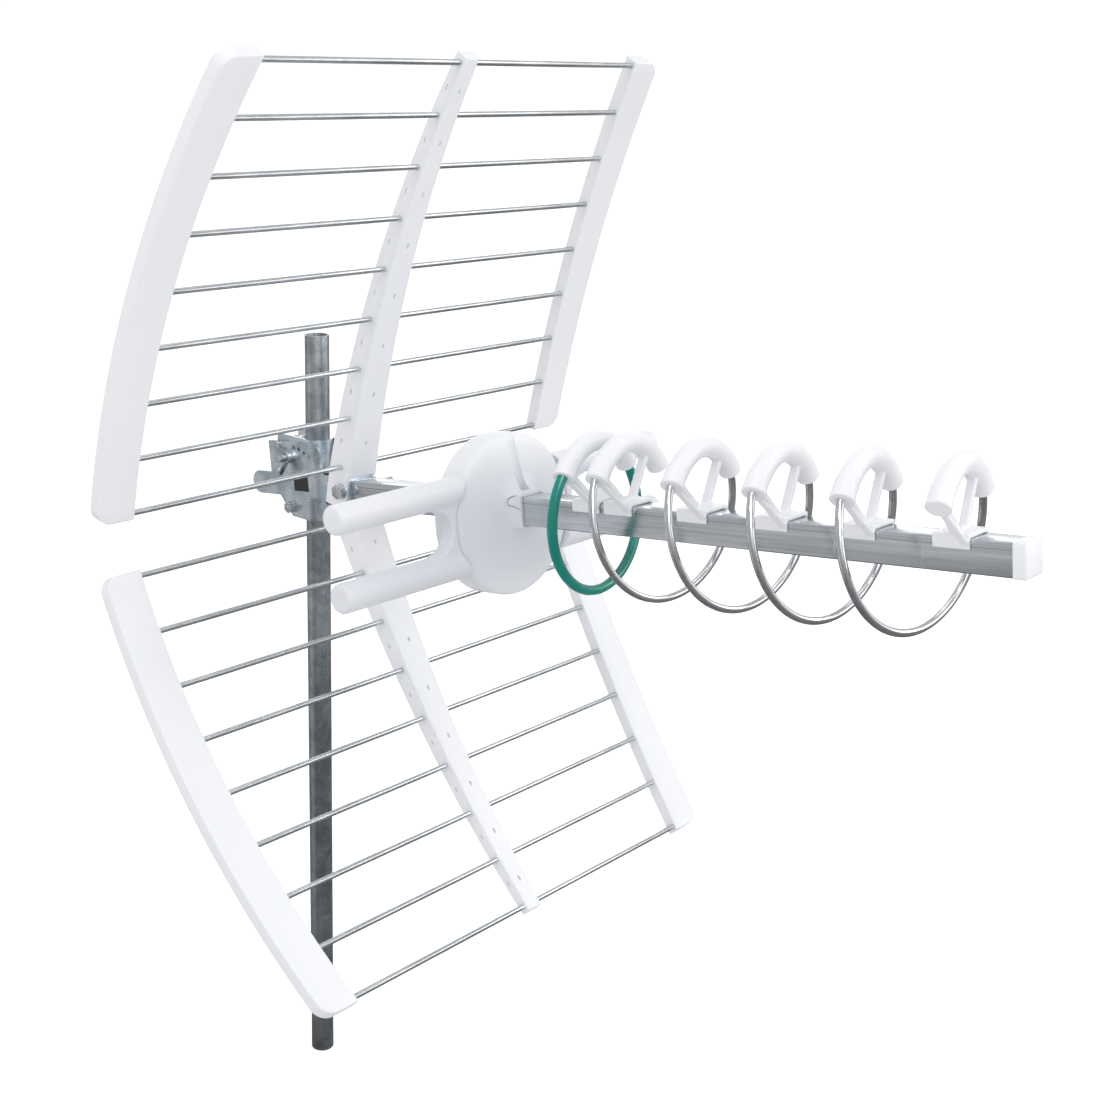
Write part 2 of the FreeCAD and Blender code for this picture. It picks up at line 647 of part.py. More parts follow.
def hexagon(name, start, direction, across, length):
    """Hexagon bar from a point along a direction; 'across' names its size across the flats."""
    feature = doc.addObject("Part::Prism", name)
    feature.Polygon = 6
    feature.setExpression("Circumradius", f"Sizes.{across} / (2 * cos(30))")
    feature.setExpression("Height", length)
    feature.Placement = Placement(start, Rotation(Vector(0, 0, 1), direction))
    return feature


spine_bolt()


# Boom and its caps
def square(sketch, half):
    """A square round the boom's axis, from half its side as an expression."""
    rectangle(sketch, f"-({half})", f"-({half})", half, half)


def boom_tube():
    """Square aluminium tube, drilled for the bolt that crosses it."""
    body = new_body("boom_body")
    section = new_sketch(body, "XZ_Plane", "boom_section", offset=-size("boom_tail"))
    square(section, "Sizes.boom_side / 2")
    square(section, "Sizes.boom_side / 2 - Sizes.boom_wall")
    pad(body, section, "Sizes.boom_reach + Sizes.boom_tail", "boom_pad")
    holes = new_sketch(body, "YZ_Plane", "boom_holes")
    flat_ring(holes, size("spine_bolt_y"), size("spine_bolt_z"), size("spine_bolt") / 2 + size("fit_gap"))
    pocket(body, holes, "boom_drilling")
    return finish(body, "boom_tube", ANTENNA)


def boom_cap(label, face_y, outwards, shown, lip, plug_length):
    """Plastic cap with a plug inside the boom tube."""
    body = new_body(label + "_body")
    plate = new_sketch(body, "XZ_Plane", label + "_plate", offset=-face_y)
    square(plate, f"Sizes.boom_side / 2 + {lip}")
    pad(body, plate, shown, label + "_face", reverse=outwards > 0)
    plug = new_sketch(body, "XZ_Plane", label + "_plug", offset=-face_y)
    square(plug, "Sizes.boom_side / 2 - Sizes.boom_wall - Sizes.fit_gap")
    pad(body, plug, plug_length, label + "_plug_pad", reverse=outwards < 0)
    return finish(body, label, ANTENNA)


boom_tube()
boom_cap("boom_front_cap", -size("boom_reach"), -1, "Sizes.cap_length", "Sizes.cap_lip", "Sizes.cap_plug")
boom_cap("boom_rear_cap", size("boom_tail"), 1, "Sizes.rear_cap_length", "0", "Sizes.cap_plug")


# Dipole
def joint_y():
    """Where the dipole's cover meets its housing."""
    return -size("dipole_y") - size("dome_joint")


def turned(name, steps):
    """A body turned about the dome's axis; each step is (radius, y)."""
    body = new_body(name)
    sketch = new_sketch(body, "XY_Plane", name + "_profile", offset=-size("dipole_drop"))
    outline(sketch, steps)
    turn = body.newObject("PartDesign::Revolution", name + "_turn")
    turn.Profile = sketch
    turn.ReferenceAxis = (sketch, ["V_Axis"])
    turn.Angle = 360.0
    return body


def ball_rise(radius):
    """How far the cover's ball face stands ahead of its edge, at a radius from the middle."""
    flat = size("dome_radius") - size("dome_edge")
    rise = size("dome_rise")
    ball = (flat ** 2 + rise ** 2) / (2 * rise)
    return rise - ball + math.sqrt(ball ** 2 - radius ** 2)


def cover_form(name):
    """The cover's outside: a short side, a bevel and a shallow ball face."""
    radius = size("dome_radius")
    bevel = size("dome_edge")
    side_end = joint_y() - size("dome_skirt")
    face = side_end - bevel
    flat = radius - bevel
    middle = collar_half()
    rings = count("face_rings")
    steps = [(0.0, joint_y()), (radius, joint_y()), (radius, side_end)]
    for ring in range(rings + 1):
        here = flat + (middle - flat) * ring / rings
        steps.append((here, face - ball_rise(here)))
    return turned(name, steps + [(0.0, face - ball_rise(middle))])


def cover_room(name):
    """The round hollow inside the cover."""
    ceiling = joint_y() - size("dome_skirt") - size("dome_edge")
    return flat_bar(name, Vector(0, ceiling, -size("dipole_drop")), Y_AXIS,
                    "Sizes.dome_radius - Sizes.dome_wall", "Sizes.dome_radius", "room_flats")


def collar_half():
    """Half the outside of the cover's collar round the boom, at its front."""
    return size("boom_side") / 2 + size("fit_gap") + size("collar_skin")


def cover_face_y():
    """Foremost point of the cover's face."""
    return joint_y() - size("dome_skirt") - size("dome_edge") - size("dome_rise")


def screw_places():
    """Centres (x, z) of the four screws that hold the cover to the housing."""
    reach, turn = size("screw_circle"), math.radians(size("screw_angle"))
    across, up = reach * math.cos(turn), reach * math.sin(turn)
    return [(x, -size("dipole_drop") + z) for x in (-across, across) for z in (-up, up)]


def frustum(name, front, back, at_front, at_back):
    """Block with sloping sides; each end is (left, low, right, high) at its y."""
    feature = doc.addObject("Part::Wedge", name)
    feature.Ymin, feature.Ymax = front, back
    feature.Xmin, feature.Zmin, feature.Xmax, feature.Zmax = at_front
    feature.X2min, feature.Z2min, feature.X2max, feature.Z2max = at_back
    return feature


def dipole_cover():
    """Round front of the dipole's housing, with a flared collar for the boom and a locking tab."""
    front = cover_face_y() - size("cover_collar")
    back = joint_y() - size("dome_skirt") - size("dome_edge")
    skin = collar_half()
    flare = skin + size("collar_flare") * (back - front) / size("cover_collar")
    shell = cut("cover_shell", cover_form("cover_outer"), cover_room("cover_hollow"))
    collar = frustum("cover_collar_block", front, back, (-skin, -skin, skin, skin),
                     (-flare, -flare, flare, flare))
    sleeve = box("cover_sleeve", Vector(-skin, front, -skin), f"{2 * skin} mm", f"{joint_y() - front} mm",
                 f"{2 * skin} mm")
    stand, up = size("tab_stand"), size("tab_up")
    root, tip = size("tab_root") / 2, size("tab_tip") / 2
    tab = frustum("cover_tab", front, back, (-skin - stand, up - root, 0.0, up + root),
                  (-flare - stand, up - tip, 0.0, up + tip))
    extras = [collar, sleeve, tab]
    holes = [boom_bore("cover_boom_bore")]
    post_front = back
    for number, (x, z) in enumerate(screw_places(), start=1):
        extras.append(flat_bar(f"cover_post_{number}", Vector(x, post_front, z), Y_AXIS,
                               "Sizes.screw_post / 2", f"{joint_y() - post_front} mm"))
        bite = size("screw_bite") + size("fit_gap")
        holes.append(flat_hole(f"cover_thread_{number}", Vector(x, joint_y() - bite, z), Y_AXIS,
                               "Sizes.screw / 2 + Sizes.fit_gap", "2 * Sizes.screw_bite"))
    solid = fused("cover_solid", [shell] + extras)
    return finish(cut("cover_cut", solid, gathered("cover_holes", holes)), "dipole_front_cover", ANTENNA)


def arm_height(upper):
    """Height of an arm's axis."""
    return -size("dipole_drop") + (0.5 if upper else -0.5) * size("arm_spread")


def housing_form(name):
    """The housing's round outside."""
    rim = joint_y()
    radius = size("dome_radius")
    floor = rim + size("dome_back")
    bevel = size("dome_edge")
    return turned(name, [
        (0.0, rim), (radius, rim), (radius, floor - bevel), (radius - bevel, floor), (0.0, floor)])


def housing_room(name):
    """The round hollow inside the housing, open at the joint."""
    start = joint_y() - size("dome_radius")
    return flat_bar(name, Vector(0, start, -size("dipole_drop")), Y_AXIS, "Sizes.dome_radius - Sizes.dome_wall",
                    "Sizes.dome_radius + Sizes.dome_back - Sizes.dome_wall", "room_flats")


def arm(name, upper):
    """Both arms of one level as a round bar with bevelled ends."""
    diameter, reach = size("arm_diameter"), size("arm_reach")
    body = new_body(name)
    profile = new_sketch(body, "XY_Plane", name + "_profile", offset=arm_height(upper))
    centre = -size("dipole_y")
    bevel = size("arm_round")
    outline(profile, [
        (-reach, centre), (-reach, centre + diameter / 2 - bevel), (-reach + bevel, centre + diameter / 2),
        (reach - bevel, centre + diameter / 2), (reach, centre + diameter / 2 - bevel), (reach, centre)])
    axis = body.newObject("PartDesign::Revolution", name + "_turn")
    profile.addGeometry(Part.LineSegment(Vector(-reach, centre, 0), Vector(reach, centre, 0)), True)
    axis.Profile = profile
    axis.ReferenceAxis = (profile, ["Axis0"])
    axis.Angle = 360.0
    return body


def dipole_housing():
    """Rear half of the dipole's housing, moulded in one with its four hollow arms."""
    wall = size("dome_wall")
    thick = size("arm_diameter")
    # web that joins each pair of arms beside the dome, ending in a round gap
    web = new_body("housing_web")
    plan = new_sketch(web, "XZ_Plane", "web_plan", offset=size("dipole_y"))
    high, low = arm_height(True), arm_height(False)
    gap_radius = (size("arm_spread") - thick) / 2
    middle = (high + low) / 2
    tip = size("slot_reach")
    centre = tip + gap_radius
    outline(plan, [
        (-centre, high), (centre, high), (centre, middle + gap_radius),
        ((tip, middle), (centre, middle - gap_radius)), (centre, low), (-centre, low),
        (-centre, middle - gap_radius), ((-tip, middle), (-centre, middle + gap_radius))])
    pad(web, plan, "Sizes.web_thick", "web_pad", midplane=True)
    arms = [arm("upper_arm", True), arm("lower_arm", False)]
    solid = fused("housing_solid", [housing_form("housing_outer"), web] + arms)
    # the cover's own room ahead of the joint
    room = cylinder("cover_place", Vector(0, joint_y(), -size("dipole_drop")), -Y_AXIS,
                    "Sizes.dome_radius + Sizes.fit_gap", "Sizes.dome_radius")
    hollow = cut("housing_hollow", solid, housing_room("housing_inner"))
    opened = cut("housing_opened", hollow, room)
    inner_reach = size("arm_reach") - size("arm_wall")
    bores = []
    for upper in (True, False):
        start = Vector(-inner_reach, -size("dipole_y"), arm_height(upper))
        bores.append(flat_hole(f"arm_bore_{int(upper)}", start, X_AXIS,
                               "Sizes.arm_diameter / 2 - Sizes.arm_wall", f"{2 * inner_reach} mm"))
    drilled = [boom_bore("housing_boom_bore")]
    floor = joint_y() + size("dome_back")
    drilled.append(flat_hole("socket_hole", Vector(size("socket_x"), floor - 2 * wall, -size("socket_drop")),
                             Y_AXIS, "Sizes.socket_barrel / 2 + Sizes.fit_gap", "4 * Sizes.dome_wall"))
    for number, (x, z) in enumerate(screw_places(), start=1):
        drilled.append(flat_hole(f"housing_screw_hole_{number}", Vector(x, floor - 2 * wall, z), Y_AXIS,
                                 "Sizes.screw / 2 + Sizes.fit_gap", "4 * Sizes.dome_wall"))
    shell = cut("housing_shell", cut("housing_bored", opened, gathered("housing_bores", bores)),
                gathered("housing_holes", drilled))
    return finish(shell, "dipole_housing", ANTENNA)


def dipole_element(label, side):
    """Flat metal strip: one fork with a tine in each arm of its side."""
    body = new_body(label + "_body")
    sketch = new_sketch(body, "XZ_Plane", label + "_outline", offset=size("dipole_y"))
    bore = size("arm_diameter") / 2 - size("arm_wall") - size("element_gap")
    half = math.sqrt(bore ** 2 - (size("element_thick") / 2) ** 2)
    inner = size("boom_side") / 2 + size("collar_skin") + 2 * half - size("element_thick")
    start = inner - half
    tip = size("arm_reach") - 2 * size("arm_wall")
    high, low = arm_height(True), arm_height(False)
    outline(sketch, [
        (side * start, low - half), (side * tip, low - half), (side * tip, low + half),
        (side * inner, low + half), (side * inner, high - half), (side * tip, high - half),
        (side * tip, high + half), (side * start, high + half)])
    pad(body, sketch, "Sizes.element_thick", label + "_pad", midplane=True)
    return finish(body, label, ANTENNA)


def balun_board():
    """Matching board that lies on the housing's floor beside the boom."""
    floor = joint_y() + size("dome_back") - size("dome_wall")
    half = size("board_height") / 2
    board = box("board_plate", Vector(size("boom_side") / 2 + size("collar_skin"),
                                      floor - size("board_thick") - size("fit_gap"),
                                      -size("dipole_drop") - half + size("dome_wall")),
                "Sizes.board_width", "Sizes.board_thick", "Sizes.board_height")
    return finish(board, "balun_board", ANTENNA.multiply(board.Placement))


def cable_socket():
    """Threaded socket through the housing's back, with its nut."""
    floor = joint_y() + size("dome_back")
    x, z = size("socket_x"), -size("socket_drop")
    inside = floor - size("dome_wall")
    flange = flat_bar("socket_flange_disc", Vector(x, inside, z), -Y_AXIS, "Sizes.socket_flange / 2",
                      "Sizes.socket_flange_thick")
    barrel = flat_bar("socket_barrel_bar", Vector(x, inside, z), Y_AXIS, "Sizes.socket_barrel / 2",
                      "Sizes.dome_wall + Sizes.socket_nut_height")
    thread = cylinder("socket_thread_bar", Vector(x, floor + size("socket_nut_height"), z), Y_AXIS,
                      "Sizes.socket_thread / 2", "Sizes.socket_length")
    bore = flat_bar("socket_bore_bar", Vector(x, floor + size("socket_nut_height"), z), Y_AXIS,
                    "Sizes.socket_bore / 2", "2 * Sizes.socket_length")
    finish(cut("socket_cut", fused("socket_solid", [flange, barrel, thread]), bore), "antenna_socket", ANTENNA)
    ring = hexagon("socket_nut_body", Vector(x, floor, z), Y_AXIS, "socket_nut", "Sizes.socket_nut_height")
    hole = flat_hole("socket_nut_hole", Vector(x, floor - size("socket_nut_height"), z), Y_AXIS,
                     "Sizes.socket_barrel / 2 + Sizes.fit_gap", "4 * Sizes.socket_nut_height")
    finish(cut("socket_nut_cut", ring, hole), "socket_nut", ANTENNA)


def cover_screws():
    """Four pan-head screws, driven from behind."""
    floor = joint_y() + size("dome_back")
    pieces = []
    for number, (x, z) in enumerate(screw_places(), start=1):
        shank = flat_bar(f"screw_shank_{number}", Vector(x, floor, z), -Y_AXIS, "Sizes.screw / 2",
                         "Sizes.dome_back + Sizes.screw_bite")
        head = flat_bar(f"screw_head_{number}", Vector(x, floor, z), Y_AXIS, "Sizes.screw_head / 2",
                        "Sizes.screw_head_height")
        pieces.append(fused(f"screw_{number}", [shank, head]))
    return finish(gathered("screw_set", pieces), "cover_screws", ANTENNA)


dipole_cover()
dipole_housing()
dipole_element("dipole_element_left", -1)
dipole_element("dipole_element_right", 1)
balun_board()
cable_socket()
cover_screws()


# Director clips and rods
def rear_clip():
    """Y of the rearmost clip's middle, clear of the dipole's cover."""
    return cover_face_y() - size("cover_collar") - size("clip_clearance") - size("foot_length") / 2


def clip_pitch():
    """Distance between clips: they share what lies between the second one and the foremost."""
    front = -size("boom_reach") + size("clip_setback")
    return (rear_clip() - size("first_gap") - front) / (count("clip_count") - 2)


def clip_station(number):
    """Y of a clip's middle; clip 1 is the rearmost."""
    if number == 1:
        return rear_clip()
    return rear_clip() - size("first_gap") - (number - 2) * clip_pitch()


def turn_sweep():
    """Angle that each rod goes round from clip to clip."""
    return math.degrees(math.pi) + size("turn_left_angle") + size("turn_right_angle")


def clip_slant():
    """Turn of the arch about the vertical, so that clips and rods make one screw."""
    chord = size("clip_radius") * (math.cos(math.radians(size("clip_left_angle")))
                                   + math.cos(math.radians(size("clip_right_angle"))))
    advance = clip_pitch() * (360.0 - turn_sweep()) / 360.0
    return math.degrees(math.atan2(advance, chord))


def arch_end_y(left):
    """Y of an arch's end, from its clip's middle."""
    angle, side = (size("clip_left_angle"), -1) if left else (size("clip_right_angle"), 1)
    return side * size("clip_radius") * math.cos(math.radians(angle)) * math.sin(math.radians(clip_slant()))


def bent_bar(points, radius):
    """A round bar along short straight runs, with a mitre at each bend."""
    along = (points[1] - points[0]).normalize()
    across = along.cross(Z_AXIS).normalize()
    up = across.cross(along)
    flats = count("bar_flats")
    corners = []
    for step in range(flats):
        turn = 2 * math.pi * step / flats
        corners.append(points[0] + across * (radius * math.cos(turn)) + up * (radius * math.sin(turn)))
    ring = Part.makePolygon(corners + corners[:1])
    return Part.makePolygon(points).makePipeShell([ring], True, False, 1)


def rod_turn(start_y, end_y):
    """Points of a director rod's screw turn, and its direction at each end."""
    radius, sweep = size("turn_radius"), math.radians(turn_sweep())
    first = -math.radians(size("turn_left_angle"))
    rise = (end_y - start_y) / sweep
    runs = count("bent_runs")
    points = []
    for step in range(runs + 1):
        angle = first + sweep * step / runs
        y = start_y + (end_y - start_y) * step / runs
        points.append(Vector(-radius * math.cos(angle), y, size("turn_height") - radius * math.sin(angle)))

    def direction(angle):
        return Vector(radius * math.sin(angle), rise, -radius * math.cos(angle)).normalize()

    return points, direction(first), direction(first + sweep)


def rod_ends(number):
    """Y of both ends of rod number: rod 1 joins its clip's own ends, the others go clip to clip."""
    start = clip_station(number) + arch_end_y(True)
    end_clip = 1 if number == 1 else number + 1
    return start, clip_station(end_clip) + arch_end_y(False)


def director_rod(label, number, diameter):
    """One bent rod whose straight ends sit in its clips' sockets."""
    points, begin, end = rod_turn(*rod_ends(number))
    grip = size("director_grip")
    feature = doc.addObject("Part::Feature", label + "_bar")
    route = [points[0] - begin * grip] + points + [points[-1] + end * grip]
    feature.Shape = bent_bar(route, size(diameter) / 2)
    return finish(feature, label, ANTENNA)


def clip_sockets(number):
    """The rod ends that a clip holds, as (rod, whether it is the rod's start)."""
    last = count("clip_count")
    if number == 1:
        return [(1, True), (1, False)]
    held = [(number, True)] if number < last else []
    if number > 2:
        held.append((number - 1, False))
    return held


def clip(number):
    """Plastic clip: round arch on two legs, on a saddle across the boom."""
    name = f"clip_{number}"
    y = clip_station(number)
    slant = Rotation(Z_AXIS, clip_slant())
    place = Placement(Vector(0, y, 0), slant)
    radius, sink = size("clip_radius"), size("clip_sink")
    left, right = math.radians(size("clip_left_angle")), math.radians(size("clip_right_angle"))
    runs = count("arch_runs")
    crown = []
    for step in range(runs + 1):
        angle = left + (math.pi - left - right) * step / runs
        crown.append(Vector(-radius * math.cos(angle), 0, -sink + radius * math.sin(angle)))
    arch = doc.addObject("Part::Feature", name + "_arch")
    arch.Shape = bent_bar(crown, size("clip_tube") / 2)
    arch.Placement = place

    def on_arch(x, inward):
        return x, -sink + math.sqrt((radius - inward) ** 2 - x ** 2)

    half = size("boom_side") / 2 + size("fit_gap")
    top = half + size("foot_plate")
    wall = size("foot_wall")
    leg = size("leg_width")
    within = size("clip_tube") / 2
    legs = new_body(name + "_legs")
    plan = new_sketch(legs, "XZ_Plane", name + "_leg_plan")
    spread = size("leg_spread")
    inside = spread - leg * math.sqrt(2)
    outline(plan, [
        (-leg, half), on_arch(-spread, within / 2), on_arch(0.0, within / 2),
        on_arch(spread, within / 2), (leg, half)])
    outline(plan, [
        (0.0, top + leg), on_arch(-inside, within), on_arch(0.0, within), on_arch(inside, within)])
    pad(legs, plan, "Sizes.clip_web", name + "_leg_pad", midplane=True)
    legs.Placement = place

    saddle = new_body(name + "_saddle")
    section = new_sketch(saddle, "XZ_Plane", name + "_saddle_section")
    low = size("boom_side") / 2 - size("foot_tab")
    outline(section, [
        (-half - wall, low), (-half, low), (-half, half), (half, half), (half, low), (half + wall, low),
        (half + wall, top), (-half - wall, top)])
    pad(saddle, section, "Sizes.foot_length", name + "_saddle_pad", midplane=True)
    saddle.Placement = Placement(Vector(0, y, 0), Rotation())

    tip_x, tip_z = on_arch(-size("strut_reach"), within / 2)
    tip = slant.multVec(Vector(tip_x, 0, tip_z)) + Vector(0, y, 0)
    strut_half = size("strut_width") / 2
    seat = Vector(-half - wall / 2, y - size("foot_length") / 2 + strut_half, low + size("foot_tab") / 2)
    strut = doc.addObject("Part::Box", name + "_strut")
    strut.setExpression("Width", "Sizes.strut_thick")
    strut.setExpression("Height", "Sizes.strut_width")
    strut.Length = (tip - seat).Length
    turn = Rotation(tip - seat, Vector(), Y_AXIS, "XZY")
    strut.Placement = Placement(seat - turn.multVec(Vector(0, size("strut_thick") / 2, strut_half)), turn)

    solid = fused(name + "_solid", [arch, legs, saddle, strut])
    sockets = []
    for rod, at_start in clip_sockets(number):
        points, begin, end = rod_turn(*rod_ends(rod))
        inwards, mouth = (begin * -1, points[0]) if at_start else (end, points[-1])
        diameter = size("sleeved_diameter" if rod == 1 else "director_diameter")
        radius_out = (diameter / 2 + size("fit_gap")) / math.cos(math.pi / count("bar_flats"))
        deep = size("director_grip") + size("fit_gap")
        bore = doc.addObject("Part::Feature", f"{name}_socket_{rod}_{'start' if at_start else 'end'}")
        bore.Shape = bent_bar([mouth - inwards * diameter, mouth + inwards * deep], radius_out)
        sockets.append(bore)
    return finish(cut(name + "_cut", solid, gathered(name + "_sockets", sockets)), f"director_clip_{number}",
                  ANTENNA)


for clip_number in range(1, count("clip_count") + 1):
    clip(clip_number)
director_rod("sleeved_director", 1, "sleeved_diameter")
for rod_number in range(2, count("clip_count")):
    director_rod(f"director_rod_{rod_number}", rod_number, "director_diameter")


# Antenna bracket
def cheek_inside():
    """Inner face of the antenna bracket's cheeks beside the mast, from the middle."""
    return size("mast_diameter") / 2 + size("turning_gap") + size("steel") + size("cheek_gap")


def boom_bracket():
    """Folded steel channel: two stepped cheeks, a web over the boom and one at the tail."""
    steel = size("steel")
    near, far = size("boom_side") / 2 + size("fit_gap"), cheek_inside()
    start, end = -size("cheek_start"), size("cheek_end")
    step = size("cheek_bend")
    body = new_body("bracket_cheeks")
    plan = new_sketch(body, "XY_Plane", "cheek_plan", offset=-size("rail_bottom"))
    for side in (-1, 1):
        outline(plan, [
            (side * near, start), (side * near, step), (side * far, step + 2 * steel), (side * far, end),
            (side * (far + steel), end), (side * (far + steel), step + 2 * steel),
            (side * (near + steel), step), (side * (near + steel), start)])
    pad(body, plan, "Sizes.ear_top + Sizes.rail_bottom", "cheek_pad")
    low, rail, top = -size("rail_bottom"), size("rail_top"), size("ear_top")
    ear_start, ear_end, corner = size("ear_start"), size("ear_end"), size("ear_round")
    slope = corner * (1 - math.sqrt(0.5))
    tail = (rail - low) / 2
    bulge = tail * math.sqrt(0.5)
    middle = (rail + low) / 2
    keep_outline(body, "cheek_outline", "YZ_Plane", [
        (start, low), (end - tail, low),
        ((end - tail + bulge, middle - bulge), (end, middle)),
        ((end - tail + bulge, middle + bulge), (end - tail, rail)),
        (ear_end, rail), (ear_end, top), (ear_start + corner, top),
        ((ear_start + slope, top - slope), (ear_start, top - corner)), (ear_start, rail), (start, rail)])
    holes = new_sketch(body, "YZ_Plane", "cheek_holes")
    flat_ring(holes, size("spine_bolt_y"), size("spine_bolt_z"), size("spine_bolt") / 2 + size("fit_gap"))
    circle(holes, "Sizes.pivot_y", "Sizes.pivot_z", "Sizes.bolt / 2 + Sizes.turning_gap")
    for y, z in lock_hole_places():
        flat_ring(holes, y, z, size("lock_hole") / 2, "lock_hole_flats")
    rectangle(holes, "Sizes.window_start", "-Sizes.rail_bottom + 2 * Sizes.steel", "Sizes.window_end",
              "-Sizes.rail_bottom + 2 * Sizes.steel + 2 * Sizes.window_half")
    pocket(body, holes, "cheek_piercing")
    width = far + steel
    front_web = box("bracket_front_web", Vector(-near - steel, start, near), f"{2 * (near + steel)} mm",
                    "Sizes.cheek_bend + Sizes.cheek_start - Sizes.steel", "Sizes.steel")
    tail_web = box("bracket_tail_web", Vector(-width, ear_end, rail - steel), f"{2 * width} mm",
                   f"{end - tail - ear_end} mm", "Sizes.steel")
    return finish(fused("bracket_solid", [body, front_web, tail_web]), "boom_bracket", ANTENNA)


def lock_hole_places():
    """Centres (y, z) of the small holes in the ear, on an arc that rises to the rear."""
    last = count("lock_holes") - 1
    start, end = size("lock_hole_start"), size("lock_hole_end")
    low, high = size("ear_top") - size("lock_hole_drop"), size("ear_top") - size("lock_hole_rise")
    places = []
    for number in range(last + 1):
        share = number / last
        places.append((start + (end - start) * share, low + (high - low) * math.sin(share * math.pi / 2)))
    return places


def tilt_pads():
    """Two plastic blocks that fill the windows and guide the mast bracket."""
    gap = size("fit_gap")
    inner = cheek_inside()
    base = -size("rail_bottom") + 2 * size("steel") + gap
    pieces = []
    for side in (-1, 1):
        left = inner if side > 0 else -inner - size("steel")
        pieces.append(box(f"tilt_pad_{'right' if side > 0 else 'left'}",
                          Vector(left, size("window_start") + gap, base), "Sizes.steel",
                          "Sizes.window_end - Sizes.window_start - 2 * Sizes.fit_gap",
                          "2 * Sizes.window_half - 2 * Sizes.fit_gap"))
    return finish(gathered("tilt_pad_pair", pieces), "tilt_pads", ANTENNA)


boom_bracket()
tilt_pads()


# Mast and its clamp
def mast_bracket():
    """Steel strap bent round the mast's front, with two legs behind it."""
    inner = size("mast_diameter") / 2 + size("turning_gap")
    outer = inner + size("steel")
    reach = size("leg_reach")
    low = size("pivot_height") - size("bracket_below")
    body = new_body("strap")
    plan = new_sketch(body, "XY_Plane", "strap_plan", offset=low)
    outline(plan, [
        (-outer, reach), (-outer, 0.0), ((0.0, -outer), (outer, 0.0)), (outer, reach), (inner, reach),
        (inner, 0.0), ((0.0, -inner), (-inner, 0.0)), (-inner, reach)])
    pad(body, plan, "Sizes.bracket_above + Sizes.bracket_below", "strap_pad")
    top = size("pivot_height") + size("bracket_above")
    slope = size("leg_reach") / 2
    keep_outline(body, "strap_outline", "YZ_Plane", [
        (-reach, low), (reach - slope, low), (reach, low + slope), (reach, top), (-reach, top)],
        beyond=2 * top)
    holes = new_sketch(body, "YZ_Plane", "strap_holes")
    circle(holes, "Sizes.pivot_behind", "Sizes.pivot_height", "Sizes.bolt / 2 + Sizes.turning_gap")
    flat_ring(holes, size("pivot_behind"), size("pivot_height") - size("clamp_bolt_drop"),
              size("clamp_bolt") / 2 + size("fit_gap"))
    pocket(body, holes, "strap_piercing")
    return finish(body, "mast_bracket", MAST)


def mast_jaw():
    """Folded jaw between the legs, its toothed edges against the mast's back."""
    half, sheet_thick = size("jaw_half"), size("jaw_sheet")
    inner = half - sheet_thick / 2
    outer = half + sheet_thick / 2
    radius = size("mast_diameter") / 2 + size("turning_gap")
    touch = math.sqrt(radius ** 2 - inner ** 2)
    back = size("pivot_behind") - size("bolt") / 2 - size("fit_gap")
    low = size("pivot_height") - size("bracket_below")
    body = new_body("jaw")
    plan = new_sketch(body, "XY_Plane", "jaw_plan", offset=low)
    outline(plan, [
        (-outer, touch), (-inner, touch), (-inner, back - sheet_thick), (inner, back - sheet_thick),
        (inner, touch), (outer, touch), (outer, back), (-outer, back)])
    tall = size("bracket_above") + size("bracket_below")
    pad(body, plan, "Sizes.bracket_above + Sizes.bracket_below", "jaw_pad")
    teeth = new_sketch(body, "YZ_Plane", "jaw_teeth_sketch")
    number = count("jaw_teeth")
    pitch = tall / number
    flat = size("tooth_flat") / 2
    for tooth in range(number):
        base, end = low + tooth * pitch + flat, low + (tooth + 1) * pitch - flat
        outline(teeth, [
            (touch, base), (touch + size("tooth_depth"), (base + end) / 2), (touch, end), (0.0, end),
            (0.0, base)])
    pocket(body, teeth, "jaw_toothing")
    return finish(body, "mast_jaw", MAST)


def tilt_bolt():
    """Bolt that the antenna tilts on, with its head on the right and a wing nut on the left."""
    y, height = size("pivot_behind"), size("pivot_height")
    face = cheek_inside() + size("steel")
    shank = cylinder("tilt_shank", Vector(face, y, height), -X_AXIS, "Sizes.bolt / 2",
                     f"{2 * face + size('wing_height')} mm")
    head = hexagon("tilt_head", Vector(face, y, height), X_AXIS, "bolt_head", "Sizes.head_height")
    finish(fused("tilt_bolt_solid", [shank, head]), "tilt_bolt", MAST)
    hub = flat_bar("wing_hub", Vector(-face, y, height), -X_AXIS, "Sizes.bolt_head / 2", "Sizes.nut_height")
    wings = new_body("wings")
    plan = new_sketch(wings, "XZ_Plane", "wing_plan", offset=-y)
    span, tall = size("wing_span") / 2, size("wing_height")
    hub_half, blade = size("bolt_head") / 2, size("wing_blade")
    near, deep = size("wing_root") / 2, size("nut_height")
    for up in (-1, 1):
        outline(plan, [
            (-face - near, height + up * near), (-face - near, height + up * hub_half),
            (-face - tall + blade, height + up * span), (-face - tall, height + up * span),
            (-face - tall, height + up * (span - blade)), (-face - deep, height + up * near)])
    pad(wings, plan, "Sizes.steel", "wing_pad", midplane=True)
    bore = flat_hole("wing_bore", Vector(-face + size("steel"), y, height), -X_AXIS,
                     "Sizes.bolt / 2 + Sizes.turning_gap", "2 * Sizes.wing_height")
    finish(cut("wing_cut", fused("wing_solid", [hub, wings]), bore), "wing_nut", MAST)


